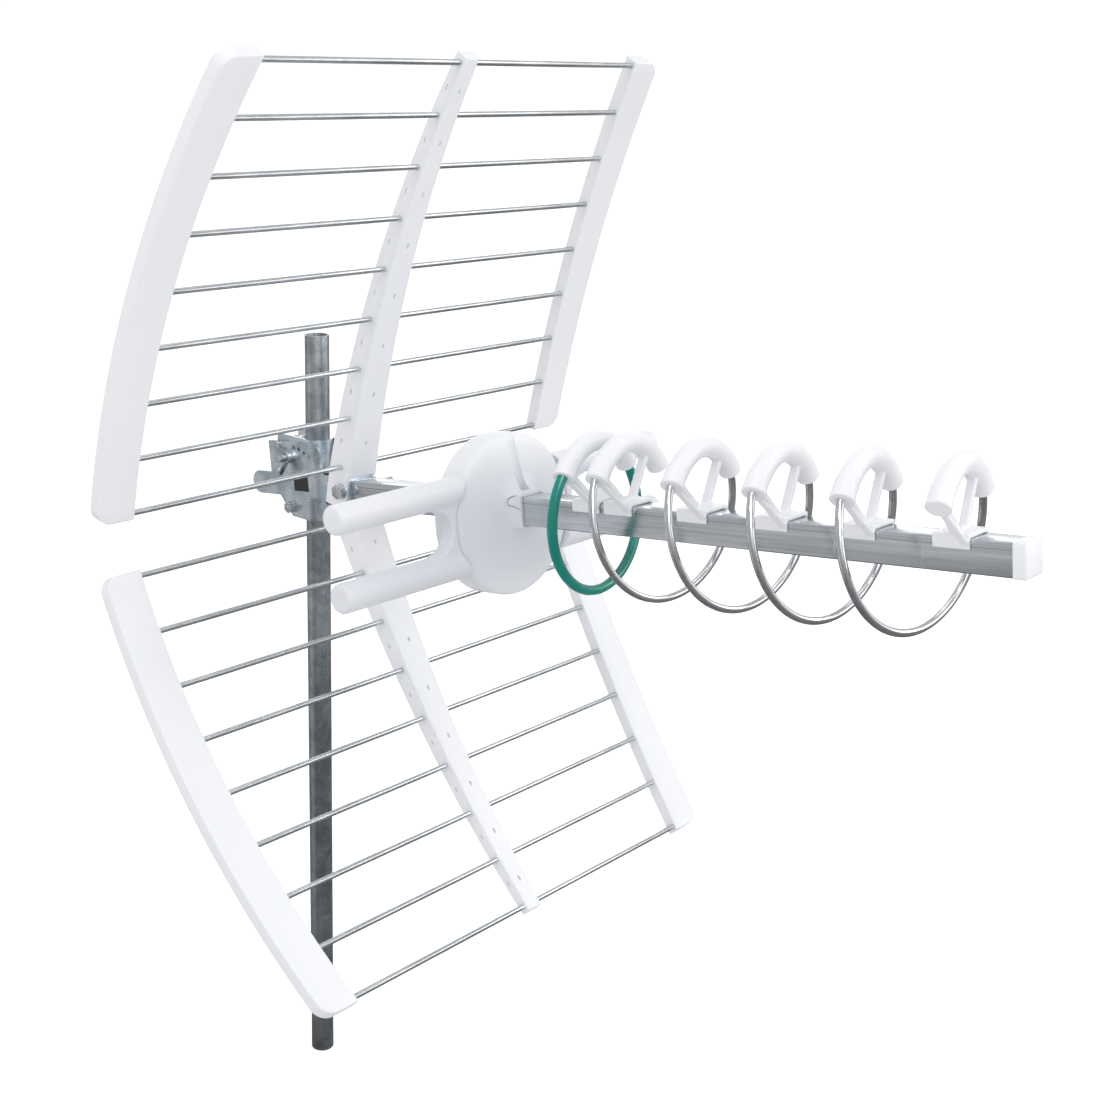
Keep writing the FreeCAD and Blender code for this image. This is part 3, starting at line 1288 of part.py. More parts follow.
def clamp_bolt():
    """Lower bolt that draws the mast bracket's legs together, with its nut."""
    y, height = size("pivot_behind"), size("pivot_height") - size("clamp_bolt_drop")
    face = size("mast_diameter") / 2 + size("turning_gap") + size("steel")
    shank = flat_bar("clamp_shank", Vector(face, y, height), -X_AXIS, "Sizes.clamp_bolt / 2",
                     f"{2 * face + size('nut_height') + size('fit_gap')} mm")
    head = hexagon("clamp_head", Vector(face, y, height), X_AXIS, "clamp_head", "Sizes.head_height")
    finish(fused("clamp_bolt_solid", [shank, head]), "clamp_bolt", MAST)
    nut = hexagon("clamp_nut_body", Vector(-face, y, height), -X_AXIS, "clamp_head", "Sizes.nut_height")
    reach = size("leg_reach")
    bore = flat_hole("clamp_nut_bore", Vector(-reach, y, height), X_AXIS,
                     "Sizes.clamp_bolt / 2 + Sizes.fit_gap", f"{2 * reach} mm")
    finish(cut("clamp_nut_cut", nut, bore), "clamp_nut", MAST)


def mast_tube():
    """Round steel mast, open at both ends."""
    body = new_body("mast_body")
    section = new_sketch(body, "XY_Plane", "mast_section")
    circle(section, "0", "0", "Sizes.mast_diameter / 2")
    circle(section, "0", "0", "Sizes.mast_diameter / 2 - Sizes.mast_wall")
    pad(body, section, "Sizes.mast_length", "mast_pad")
    return finish(body, "mast_tube", MAST)


mast_bracket()
mast_jaw()
tilt_bolt()
clamp_bolt()
mast_tube()


# Checks and export
doc.recompute()
for item in doc.Objects:
    if "Invalid" in item.State or "Error" in item.State:
        raise RuntimeError(f"{item.Label} failed: {item.State}")
for item in parts:
    if item.Shape.isNull() or not item.Shape.isValid() or not item.Shape.Solids:
        raise RuntimeError(f"{item.Label} has no valid solid")
os.makedirs("parts", exist_ok=True)
for item in parts:
    item.Shape.exportStep(os.path.join("parts", item.Label + ".step"))
print(len(parts), "parts written")
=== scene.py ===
# %% [markdown]
# # A rooftop television antenna, dressed around its frame
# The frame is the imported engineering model: every part at its real size and place, in metres,
# with +Z up the mast and -Y forward along the boom.
# This lesson gives each part the shape and finish that its maker gives it: drawn rods, bent
# loops, moulded plastic, folded zinc sheet and galvanised tube.

# %% Load the frame
import json
import math
import bpy
import bmesh
from mathutils import Matrix, Vector


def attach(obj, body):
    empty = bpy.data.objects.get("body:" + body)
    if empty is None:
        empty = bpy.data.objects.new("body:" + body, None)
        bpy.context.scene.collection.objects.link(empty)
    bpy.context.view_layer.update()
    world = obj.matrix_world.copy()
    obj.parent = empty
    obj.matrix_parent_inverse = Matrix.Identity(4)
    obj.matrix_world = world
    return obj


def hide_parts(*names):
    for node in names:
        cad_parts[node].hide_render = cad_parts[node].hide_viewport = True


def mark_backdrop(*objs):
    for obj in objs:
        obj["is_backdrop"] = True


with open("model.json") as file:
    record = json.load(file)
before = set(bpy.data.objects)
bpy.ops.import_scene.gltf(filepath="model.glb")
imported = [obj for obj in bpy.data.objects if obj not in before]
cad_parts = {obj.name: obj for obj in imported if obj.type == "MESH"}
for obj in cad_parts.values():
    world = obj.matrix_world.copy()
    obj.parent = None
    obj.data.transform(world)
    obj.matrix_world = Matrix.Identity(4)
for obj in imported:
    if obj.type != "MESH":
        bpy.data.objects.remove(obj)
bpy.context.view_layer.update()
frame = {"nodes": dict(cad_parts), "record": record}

RECORD = frame["record"]
SLOT_OF = {part["node"]: part["material_slot"] for part in RECORD["subparts"]}
BODY_OF = {node: body for body, nodes in RECORD["behaviour"]["bodies"].items() for node in nodes}

# %% [markdown]
# ## Two drawing frames
# The antenna is easiest to draw level and in millimetres, with the boom's axis along Y. On the
# mast it sits nose up, turned about the tilt bolt. Each object could be turned after it is made,
# but an object has to stay unturned here. So one matrix does that turn, the move and the change
# to metres, and each mesh is drawn level and settled into place as its last step. The lower
# panel is the upper one turned half round about the boom.

# %% Where the antenna sits
MM = 0.001
TILT = math.radians(7.65)
TILT_BOLT = Vector((0, 60.5, 26.0))
TILT_SEAT = Vector((0, 17.3, 524.0))
ON_MAST = Matrix.Scale(MM, 4)
NOSE_UP = Matrix.Rotation(-TILT, 4, "X")
ON_ANTENNA = ON_MAST @ Matrix.Translation(TILT_SEAT) @ NOSE_UP @ Matrix.Translation(-TILT_BOLT)
ON_PANEL = {"upper": ON_ANTENNA, "lower": ON_ANTENNA @ Matrix.Rotation(math.pi, 4, "Y")}
X, Y, Z = Vector((1, 0, 0)), Vector((0, 1, 0)), Vector((0, 0, 1))
print("nose up by", round(math.degrees(TILT), 2), "degrees")

# %% [markdown]
# ## Materials: shared groups
# Moulded plastic, drawn rod and rolled sheet all need the same thing: a fine grain that varies
# the roughness and tips the surface a little. It could be copied into each material, but a
# node group is built once and given each finish's own values. In it the grain is stretched
# along the way that the metal was drawn. A second group gives the slow drift of colour that
# keeps a large plain surface from looking painted by a computer.

# %% Wiring helpers
def wire(tree, source, target):
    tree.links.new(source, target)


def feed(tree, given, socket):
    """Wire another node's output to a socket, or set a plain value on it."""
    if isinstance(given, bpy.types.NodeSocket):
        wire(tree, given, socket)
    else:
        socket.default_value = given


# %% Small nodes
def math_node(tree, operation, first, second=0.0):
    node = tree.nodes.new("ShaderNodeMath")
    node.operation = operation
    for socket, given in zip(node.inputs, (first, second)):
        feed(tree, given, socket)
    return node.outputs[0]


def vector_node(tree, operation, first, second, output="Vector"):
    node = tree.nodes.new("ShaderNodeVectorMath")
    node.operation = operation
    feed(tree, first, node.inputs[0])
    feed(tree, second, node.inputs[1])
    return node.outputs[output]


def colour_mix(tree, share, first, second, blend="MIX"):
    node = tree.nodes.new("ShaderNodeMix")
    node.data_type = "RGBA"
    node.blend_type = blend
    feed(tree, share, node.inputs["Factor"])
    feed(tree, first, node.inputs[6])
    feed(tree, second, node.inputs[7])
    return node.outputs[2]


def soft_step(tree, value, low, high, least=0.0, most=1.0):
    """A soft step from one strength to another, as a value passes from low to high."""
    node = tree.nodes.new("ShaderNodeMapRange")
    node.interpolation_type = "SMOOTHSTEP"
    for label, given in {"From Min": low, "From Max": high, "To Min": least, "To Max": most}.items():
        node.inputs[label].default_value = given
    wire(tree, value, node.inputs["Value"])
    return node.outputs["Result"]


# %% Empty group
def new_group(name, inputs, outputs):
    """An empty group with named sockets: (label, kind, default) in and (label, kind) out."""
    group = bpy.data.node_groups.new(name, "ShaderNodeTree")
    for label, kind, default in inputs:
        socket = group.interface.new_socket(label, in_out="INPUT", socket_type="NodeSocket" + kind)
        socket.default_value = default
    for label, kind in outputs:
        group.interface.new_socket(label, in_out="OUTPUT", socket_type="NodeSocket" + kind)
    return group, group.nodes.new("NodeGroupInput").outputs, group.nodes.new("NodeGroupOutput").inputs


# %% Grain group
def build_grain():
    group, given, result = new_group("grain", [
        ("Vector", "Vector", (0, 0, 0)), ("Stretch", "Vector", (1, 1, 1)), ("Scale", "Float", 900.0),
        ("Low", "Float", 0.3), ("High", "Float", 0.4), ("Depth", "Float", 0.1)],
        [("Roughness", "Float"), ("Normal", "Vector")])
    noise = group.nodes.new("ShaderNodeTexNoise")
    noise.inputs["Detail"].default_value = 4.0
    wire(group, vector_node(group, "MULTIPLY", given["Vector"], given["Stretch"]), noise.inputs["Vector"])
    wire(group, given["Scale"], noise.inputs["Scale"])
    rough = group.nodes.new("ShaderNodeMapRange")
    rough.inputs["From Min"].default_value = 0.3
    rough.inputs["From Max"].default_value = 0.7
    wire(group, noise.outputs["Fac"], rough.inputs["Value"])
    wire(group, given["Low"], rough.inputs["To Min"])
    wire(group, given["High"], rough.inputs["To Max"])
    bump = group.nodes.new("ShaderNodeBump")
    bump.inputs["Distance"].default_value = 0.0001
    wire(group, noise.outputs["Fac"], bump.inputs["Height"])
    wire(group, given["Depth"], bump.inputs["Strength"])
    wire(group, rough.outputs["Result"], result["Roughness"])
    wire(group, bump.outputs["Normal"], result["Normal"])
    return group


GRAIN = build_grain()
print("group", GRAIN.name)

# %% Drift group
def build_drift():
    group, given, result = new_group("drift", [
        ("Vector", "Vector", (0, 0, 0)), ("Scale", "Float", 20.0), ("First", "Color", (1, 1, 1, 1)),
        ("Second", "Color", (1, 1, 1, 1))],
        [("Color", "Color")])
    noise = group.nodes.new("ShaderNodeTexNoise")
    noise.inputs["Detail"].default_value = 3.0
    noise.inputs["Roughness"].default_value = 0.6
    wire(group, given["Vector"], noise.inputs["Vector"])
    wire(group, given["Scale"], noise.inputs["Scale"])
    share = soft_step(group, noise.outputs["Fac"], 0.35, 0.65)
    wire(group, colour_mix(group, share, given["First"], given["Second"]), result["Color"])
    return group


DRIFT = build_drift()
print("group", DRIFT.name)

# %% [markdown]
# ## Materials: one short recipe each
# Every finish starts from the same kit: Object coordinates turned level with the antenna, so
# that drawn lines run true along the boom and the rods, then a drift of two colours and a
# grain. The recipe gives the numbers, and a finish that needs more adds its own nodes.

# %% Material kit
LEVEL_SHIFT = TILT_BOLT * MM - Matrix.Rotation(TILT, 3, "X") @ (TILT_SEAT * MM)


def place_group(tree, group, coordinates, **values):
    node = tree.nodes.new("ShaderNodeGroup")
    node.node_tree = group
    wire(tree, coordinates, node.inputs["Vector"])
    for label, value in values.items():
        node.inputs[label].default_value = value
    return node


def finish_kit(slot, first, second, drift, stretch, scale, rough, depth, metallic=0.0):
    """A material with the antenna's level coordinates, a colour drift and a grain."""
    material = bpy.data.materials.new(slot)
    material.use_nodes = True
    tree = material.node_tree
    shader = tree.nodes["Principled BSDF"]
    shader.inputs["Metallic"].default_value = metallic
    place = tree.nodes.new("ShaderNodeTexCoord")
    level = tree.nodes.new("ShaderNodeMapping")
    level.inputs["Rotation"].default_value = (TILT, 0, 0)
    level.inputs["Location"].default_value = LEVEL_SHIFT
    wire(tree, place.outputs["Object"], level.inputs["Vector"])
    where = level.outputs["Vector"]
    colour = place_group(tree, DRIFT, where, Scale=drift, First=(*first, 1), Second=(*second, 1))
    grain = place_group(tree, GRAIN, where, Stretch=stretch, Scale=scale, Low=rough[0], High=rough[1],
                        Depth=depth)
    wire(tree, colour.outputs["Color"], shader.inputs["Base Color"])
    wire(tree, grain.outputs["Roughness"], shader.inputs["Roughness"])
    wire(tree, grain.outputs["Normal"], shader.inputs["Normal"])
    return material, tree, shader, where, colour


EVEN = (1, 1, 1)
ALONG_X, ALONG_Y, ALONG_Z = (0.02, 1, 1), (1, 0.02, 1), (1, 1, 0.02)
FINISHES = {}

# %% [markdown]
# ### White moulded plastic
# The frames, spines, clips and the dipole's housing are a weather-proof plastic, white with a
# trace of blue. It is satin, and the tool's skin leaves a very fine texture, so low bump and a
# slight drift between two whites are enough. A greyer tone is painted on as shade over the
# dipole's middle and arms, strongest near the middle. A soft mask brings it in, and it is drawn
# out along the arms.

# %% White plastic
# The greyer tone and its reach are painted shade on the dipole's middle and arms.
DIPOLE_MIDDLE = Vector((0, -0.170, -0.014))
ALONG_ARMS = (0.2, 1, 1)
PAINTED_SHADE_REACH = (0.022, 0.068)
PAINTED_SHADE_GREY = (0.71, 0.725, 0.775, 1)


def white_plastic():
    material, tree, shader, where, colour = finish_kit(
        "white_plastic", (0.855, 0.87, 0.905), (0.88, 0.885, 0.912), 9.0, EVEN, 1400.0, (0.36, 0.48), 0.05)
    drawn_out = vector_node(tree, "MULTIPLY", where, ALONG_ARMS)
    away = vector_node(tree, "DISTANCE", drawn_out, DIPOLE_MIDDLE, "Value")
    # Painted shade: the dipole's middle and arms are mixed towards the greyer tone.
    share = soft_step(tree, away, *PAINTED_SHADE_REACH, 0.95, 0.0)
    wire(tree, colour_mix(tree, share, colour.outputs["Color"], PAINTED_SHADE_GREY), shader.inputs["Base Color"])
    return material


FINISHES["white_plastic"] = white_plastic()
print("white_plastic made")

# %% [markdown]
# ### Drawn and polished rod
# The reflector's rods are drawn through a die, which leaves faint lines along them. The bent
# director rods are polished, so their grain is finer and their roughness lower.

# %% Finishes of the rods
def drawn_rod():
    return finish_kit("aluminium_rod", (0.58, 0.61, 0.64), (0.70, 0.73, 0.75), 30.0, ALONG_X, 2600.0,
                      (0.24, 0.36), 0.08, metallic=1.0)[0]


def polished_rod():
    return finish_kit("polished_rod", (0.66, 0.67, 0.70), (0.76, 0.77, 0.79), 40.0, EVEN, 1800.0,
                      (0.07, 0.13), 0.02, metallic=1.0)[0]


FINISHES["aluminium_rod"] = drawn_rod()
FINISHES["polished_rod"] = polished_rod()
print("rods made")

# %% [markdown]
# ### Glossy green sleeve
# The rearmost loop wears a tight plastic sleeve. Low roughness alone would mix its gloss into
# the colour and make it milky. So the gloss is a clear coat over a saturated green, and the
# surface underneath is a little rougher.

# %% Green sleeve
def green_sleeve():
    material, tree, shader, *_ = finish_kit(
        "green_sleeve", (0.0, 0.20, 0.155), (0.0, 0.25, 0.195), 25.0, EVEN, 500.0, (0.16, 0.22), 0.004)
    shader.inputs["Coat Weight"].default_value = 0.85
    shader.inputs["Specular IOR Level"].default_value = 0.25
    shader.inputs["Coat Roughness"].default_value = 0.03
    return material


FINISHES["green_sleeve"] = green_sleeve()
print("green_sleeve made")

# %% [markdown]
# ### Brushed boom
# The boom is pressed through a die and brushed along its length, in fine lighter and darker
# lines. A picture of brushed metal would need unwrapping, so a noise squeezed along Y draws
# them. A thin scored line runs near the top of each side. It lies at a known height above the
# boom's axis, so a narrow band of the level Z coordinate darkens there.

# %% Boom finish
SCORED_HEIGHT = 0.0058
SCORED_HALF = 0.00035
SCORED_COLOUR = (0.22, 0.23, 0.25, 1)
LINES_STRETCH = (1, 0.02, 1)


def brushed_boom():
    material, tree, shader, where, colour = finish_kit(
        "brushed_aluminium", (0.57, 0.60, 0.63), (0.64, 0.67, 0.70), 9.0, (1, 0.008, 1), 1500.0,
        (0.13, 0.23), 0.05, metallic=1.0)
    along = vector_node(tree, "MULTIPLY", where, LINES_STRETCH)
    lines = place_group(tree, DRIFT, along, Scale=520.0, First=(0.40, 0.43, 0.46, 1),
                        Second=(0.80, 0.82, 0.84, 1))
    streaked = colour_mix(tree, 0.30, colour.outputs["Color"], lines.outputs["Color"])
    split = tree.nodes.new("ShaderNodeSeparateXYZ")
    wire(tree, where, split.inputs[0])
    away = math_node(tree, "ABSOLUTE", math_node(tree, "SUBTRACT", split.outputs["Z"], SCORED_HEIGHT))
    scored = math_node(tree, "MULTIPLY", math_node(tree, "LESS_THAN", away, SCORED_HALF), 0.45)
    wire(tree, colour_mix(tree, scored, streaked, SCORED_COLOUR), shader.inputs["Base Color"])
    return material


FINISHES["brushed_aluminium"] = brushed_boom()
print("brushed_aluminium made")

# %% [markdown]
# ### Zinc, galvanising and plating
# Galvanised tube shows flat crystals, a few millimetres across, under streaks along the tube. A
# Voronoi texture gives each crystal its own grey, which is mixed in lightly.

# %% Zinc finishes
CRYSTALS = 150.0


def zinc_sheet():
    return finish_kit("zinc_sheet", (0.50, 0.60, 0.67), (0.78, 0.84, 0.89), 60.0, ALONG_Y, 1500.0,
                      (0.22, 0.42), 0.16, metallic=1.0)[0]


def zinc_fastener():
    return finish_kit("zinc_fastener", (0.58, 0.63, 0.68), (0.80, 0.82, 0.84), 160.0, EVEN, 1500.0,
                      (0.18, 0.34), 0.10, metallic=1.0)[0]


def plated_metal():
    return finish_kit("plated_metal", (0.66, 0.65, 0.62), (0.78, 0.77, 0.74), 120.0, EVEN, 1600.0,
                      (0.16, 0.28), 0.08, metallic=1.0)[0]


def galvanised_tube():
    material, tree, shader, where, colour = finish_kit(
        "galvanised_tube", (0.36, 0.40, 0.43), (0.56, 0.61, 0.65), 26.0, ALONG_Z, 1300.0,
        (0.24, 0.44), 0.14, metallic=1.0)
    cells = tree.nodes.new("ShaderNodeTexVoronoi")
    cells.inputs["Scale"].default_value = CRYSTALS
    wire(tree, where, cells.inputs["Vector"])
    grey = tree.nodes.new("ShaderNodeRGBToBW")
    wire(tree, cells.outputs["Color"], grey.inputs[0])
    tinted = colour_mix(tree, 0.30, colour.outputs["Color"], grey.outputs[0], "MULTIPLY")
    wire(tree, tinted, shader.inputs["Base Color"])
    return material


for build in (zinc_sheet, zinc_fastener, plated_metal, galvanised_tube):
    FINISHES[build.__name__] = build()
print("zinc finishes made")

# %% [markdown]
# ### Black pads, the strips and the board
# These are small or hidden. A flat colour would do for them in this picture, but each one
# gets the finish that it really has: a satin black, a plain bright strip and a coated green
# board.

# %% Small finishes
def black_plastic():
    return finish_kit("black_plastic", (0.018, 0.019, 0.021), (0.035, 0.036, 0.038), 40.0, EVEN, 1200.0,
                      (0.32, 0.48), 0.12)[0]


def element_metal():
    return finish_kit("element_metal", (0.66, 0.67, 0.68), (0.78, 0.79, 0.80), 50.0, ALONG_X, 1500.0,
                      (0.22, 0.36), 0.12, metallic=1.0)[0]


def board():
    return finish_kit("board", (0.03, 0.13, 0.05), (0.05, 0.18, 0.07), 200.0, EVEN, 1500.0,
                      (0.25, 0.40), 0.10)[0]


for build in (black_plastic, element_metal, board):
    FINISHES[build.__name__] = build()
print("finishes:", ", ".join(sorted(FINISHES)))

# %% [markdown]
# ## Making and settling a piece
# Each new piece is a bmesh drawn in millimetres. `settle` merges its doubles, turns its faces
# outwards, moves it into place, names it after the part that it stands for, hangs it on that
# part's body, gives it the material of the part's slot and hides the part. Smooth shading stops
# at edges sharper than a set angle. A fused shape is one clean skin already, so it skips the merging.

# %% Settle a piece
SAME_POINT = 0.0005
SMOOTH_BELOW = 32.0


def settle(bm, node, matrix=ON_ANTENNA, smooth=SMOOTH_BELOW, merge=True):
    if merge:
        bmesh.ops.remove_doubles(bm, verts=bm.verts, dist=SAME_POINT)
        bmesh.ops.recalc_face_normals(bm, faces=bm.faces)
    bmesh.ops.transform(bm, matrix=matrix, verts=bm.verts)
    mesh = bpy.data.meshes.new("finished_" + node)
    bm.to_mesh(mesh)
    bm.free()
    mesh.shade_smooth()
    mesh.set_sharp_from_angle(angle=math.radians(smooth))
    mesh.materials.append(FINISHES[SLOT_OF[node]])
    piece = bpy.data.objects.new("finished_" + node, mesh)
    bpy.context.scene.collection.objects.link(piece)
    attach(piece, BODY_OF[node])
    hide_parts(node)
    return piece


# %% [markdown]
# ## Blocks, bars and beams
# Most of the antenna's pieces are straight before they are bent, cut or fused. Three helpers
# place Blender's own cube and cone between two points, which reads better than moving and
# scaling them by hand each time.

# %% Blocks, bars and beams
def block(bm, low, high):
    """A box between two corners; returns its vertices."""
    low, high = Vector(low), Vector(high)
    size = Matrix.Diagonal((*(high - low), 1))
    return bmesh.ops.create_cube(bm, size=1, matrix=Matrix.Translation((low + high) / 2) @ size)["verts"]


def pointing(way):
    """The turn that points +Z along a direction."""
    return Z.rotation_difference(Vector(way)).to_matrix().to_4x4()


def bar(bm, start, end, radius, segments=24, tip=None):
    """A round bar between two points, tapering to another radius if one is given."""
    start, end = Vector(start), Vector(end)
    place = Matrix.Translation((start + end) / 2) @ pointing(end - start)
    return bmesh.ops.create_cone(bm, cap_ends=True, segments=segments, radius1=radius,
                                 radius2=radius if tip is None else tip, depth=(end - start).length,
                                 matrix=place)["verts"]


def beam(bm, start, end, across, thick, depth):
    """A flat beam between two points, thick along 'across' and deep at right angles to it."""
    start, end = Vector(start), Vector(end)
    along = (end - start).normalized()
    side = (Vector(across) - along * along.dot(Vector(across))).normalized()
    turn = Matrix((side, along.cross(side), along)).transposed().to_4x4()
    size = Matrix.Diagonal((thick, depth, (end - start).length, 1))
    place = Matrix.Translation((start + end) / 2) @ turn @ size
    return bmesh.ops.create_cube(bm, size=1, matrix=place)["verts"]


# %% Picking and rounding edges
def edges_between(verts, test=lambda edge: True):
    """Edges whose two ends are among the vertices, and that pass a test."""
    chosen = set(verts)
    return [e for e in {e for v in verts for e in v.link_edges}
            if e.verts[0] in chosen and e.verts[1] in chosen and test(e)]


def edge_run(edge, axis):
    """How far an edge goes along one axis."""
    return abs(edge.verts[0].co[axis] - edge.verts[1].co[axis])


def soften(bm, edges, offset, segments=3):
    """Round some edges."""
    bmesh.ops.bevel(bm, geom=edges, offset=offset, offset_type="OFFSET", segments=segments, profile=0.5,
                    affect="EDGES", material=-1, clamp_overlap=True)


def sharp_edges(bm, angle=30.0):
    limit = math.radians(angle)
    return [e for e in bm.edges if len(e.link_faces) == 2 and e.calc_face_angle() > limit]


# %% [markdown]
# ## Cutting and fusing
# Holes are cut with a Boolean modifier on a temporary object, and the result goes back into
# the bmesh. Moulded shapes with many branches are fused another way: overlapping bars and
# blocks are given one common skin by a voxel remesh, and a few smoothing rounds melt the
# creases into the soft fillets that moulded plastic has.

# %% Temporary objects
def as_object(bm, name):
    mesh = bpy.data.meshes.new(name)
    bm.to_mesh(mesh)
    bm.free()
    made = bpy.data.objects.new(name, mesh)
    bpy.context.scene.collection.objects.link(made)
    return made


def modified(made, extra=()):
    """The result of an object's modifiers as a bmesh; the objects are removed."""
    graph = bpy.context.evaluated_depsgraph_get()
    mesh = bpy.data.meshes.new_from_object(made.evaluated_get(graph))
    result = bmesh.new()
    result.from_mesh(mesh)
    bpy.data.meshes.remove(mesh)
    for temporary in (made, *extra):
        data = temporary.data
        bpy.data.objects.remove(temporary)
        bpy.data.meshes.remove(data)
    return result


# %% Cutting and fusing
def carve(bm, tool, operation="DIFFERENCE"):
    """Cut one shape with another, or join them."""
    for shape in (bm, tool):
        bmesh.ops.recalc_face_normals(shape, faces=shape.faces)
    made, knife = as_object(bm, "carved"), as_object(tool, "knife")
    step = made.modifiers.new("carve", "BOOLEAN")
    step.operation = operation
    step.solver = "EXACT"
    step.object = knife
    return modified(made, (knife,))


def cut_box(bm, low, high):
    """Cut a box away."""
    tool = bmesh.new()
    block(tool, low, high)
    return carve(bm, tool)


def fuse(bm, voxel, rounds):
    """One soft skin round overlapping shapes."""
    made = as_object(bm, "moulding")
    skin = made.modifiers.new("skin", "REMESH")
    skin.mode = "VOXEL"
    skin.voxel_size = voxel
    soft = made.modifiers.new("soft", "SMOOTH")
    soft.factor = 0.5
    soft.iterations = rounds
    return modified(made)


# %% [markdown]
# ## The reflector's curve
# Both panels bow forward on one circle. A distance `s` along that circle, from the innermost
# rod, and a depth behind the rods' axes place every point of a panel. A Simple Deform modifier
# could bend a panel too, but it can't draw the side frames in towards the tips. So frames and
# spines are drawn straight, with `s` up and depth along Y, and bent by one function.

# %% Curve of the reflector
RODS = 9
ROD_STEP = 39.5
CURVE_RADIUS = 931.0
ROOT_LEAN = math.radians(18.2)
ROOT_HEIGHT = 21.5
LAST = ROD_STEP * (RODS - 1)
MIDDLE_REACH, OUTER_REACH = 200.9, 175.0
BOW = MIDDLE_REACH - OUTER_REACH
BOW_RADIUS = (LAST ** 2 + BOW ** 2) / (2 * BOW)


def on_curve(x, behind, s):
    """A point of a panel in the antenna's frame."""
    lean = ROOT_LEAN + s / CURVE_RADIUS
    y = CURVE_RADIUS * (math.cos(lean) - math.cos(ROOT_LEAN)) + behind * math.cos(lean)
    z = ROOT_HEIGHT + CURVE_RADIUS * (math.sin(lean) - math.sin(ROOT_LEAN)) + behind * math.sin(lean)
    return Vector((x, y, z))


def half_rod(s):
    """Half the open length of the rod at a distance along the curve."""
    return MIDDLE_REACH - BOW_RADIUS + math.sqrt(BOW_RADIUS ** 2 - max(s, 0.0) ** 2)


def cut_across(bm, height):
    bmesh.ops.bisect_plane(bm, geom=bm.verts[:] + bm.edges[:] + bm.faces[:], dist=0.001,
                           plane_co=(0, 0, height), plane_no=(0, 0, 1))


def slice_up(bm, low, high, step):
    """Cut a straight shape across, so that it can follow the curve."""
    cuts = int((high - low) / step)
    for number in range(1, cuts):
        cut_across(bm, low + (high - low) * number / cuts)


print("reflector: last rod at", LAST, "mm, bow radius", round(BOW_RADIUS))

# %% [markdown]
# ## Reflector rods
# Eighteen straight rods, each running through its spine into the two side frames. An array
# can't do it, because every rod has its own length, so a loop draws them. A cone with two
# equal radii is the rod, and the small bevel at its cut ends is what a shear leaves.

# %% Reflector rods
ROD_RADIUS = 2.0
ROD_GRIP = 9.0
CUT_EDGE = 0.4


def reflector_rod(number, panel):
    s = (number - 1) * ROD_STEP
    half = half_rod(s) + ROD_GRIP
    bm = bmesh.new()
    verts = bar(bm, on_curve(-half, 0, s), on_curve(half, 0, s), ROD_RADIUS, segments=28)
    soften(bm, edges_between(verts, lambda e: edge_run(e, 0) < SAME_POINT), CUT_EDGE, 2)
    return settle(bm, f"{panel}_rod_{number}", ON_PANEL[panel])


for panel in ("upper", "lower"):
    for number in range(1, RODS + 1):
        reflector_rod(number, panel)
print(2 * RODS, "reflector rods")

# %% [markdown]
# ## Side frames
# Each frame is a moulded channel, open at the back, that hides the rods' ends. It could be a
# bent sheet that solidify gives a wall, but a box keeps its back rim flat. Its two outer corners
# get a wide bevel and its face a small one, the back is inset by the wall and pushed in, and
# then the straight channel is sliced, bent and bowed.

# %% Side frames
FRAME_WIDTH, FRAME_FRONT, FRAME_BACK, FRAME_WALL = 28.5, 3.2, 7.0, 1.8
FRAME_CORNER, FRAME_OVERRUN, FRAME_EDGE = 11.0, 4.0, 1.3
SLICE = 9.0


def push_in(bm, faces, wall, floor_y):
    """Inset some back faces by a wall and push them forward to a floor."""
    bmesh.ops.inset_region(bm, faces=faces, thickness=wall, use_even_offset=True, use_boundary=True)
    pushed = bmesh.ops.extrude_face_region(bm, geom=faces)["geom"]
    for vert in (part for part in pushed if isinstance(part, bmesh.types.BMVert)):
        vert.co.y = floor_y(vert.co.z)
    left = [face for face in faces if face.is_valid]
    if left:
        bmesh.ops.delete(bm, geom=left, context="FACES_ONLY")


def side_frame(node, side, panel):
    low, high = -FRAME_OVERRUN, LAST + FRAME_OVERRUN
    bm = bmesh.new()
    verts = block(bm, (0, -FRAME_FRONT, low), (FRAME_WIDTH, FRAME_BACK, high))
    corners = edges_between(verts, lambda e: all(v.co.x > 1 for v in e.verts) and edge_run(e, 1) > 1)
    soften(bm, corners, FRAME_CORNER, 8)
    rim = [e for e in sharp_edges(bm) if all(v.co.y < 0 for v in e.verts)]
    soften(bm, rim, FRAME_EDGE, 3)
    back = [f for f in bm.faces if f.normal.y > 0.9]
    push_in(bm, back, FRAME_WALL, lambda s: FRAME_WALL - FRAME_FRONT)
    slice_up(bm, low, high, SLICE)
    for vert in bm.verts:
        out, behind, s = vert.co
        vert.co = on_curve(side * (half_rod(s) + out), behind, s)
    return settle(bm, node, ON_PANEL[panel])


side_frame("left_upper_frame", -1, "upper")
side_frame("right_upper_frame", 1, "upper")
side_frame("left_lower_frame", 1, "lower")
side_frame("right_lower_frame", -1, "lower")
print("4 side frames")

# %% [markdown]
# ## Spines
# A spine is a deep tapering channel that carries one panel's rods and straddles the boom. The
# taper is set on the straight shape, then its front edges are rounded and its back hollowed.
# Small oval drain holes go through its face and sides, and a low boss stands where each rod
# passes through. Its root is cut after bending, because the boom and the bracket are straight.

# %% Spine channel
WIDTHS, FRONTS, BACKS = (30.0, 13.6), (8.0, 3.4), (12.0, 5.5)
SPINE_WALL, SPINE_OVERRUN, SPINE_EDGE = 2.0, 5.0, 1.5
BOOM_HALF, FIT = 10.0, 0.1
CHEEK_DROP, ROOT_BLOCK = 11.0, 8.0


def between(pair, s):
    share = min(max(s / LAST, 0.0), 1.0)
    return pair[0] + (pair[1] - pair[0]) * share


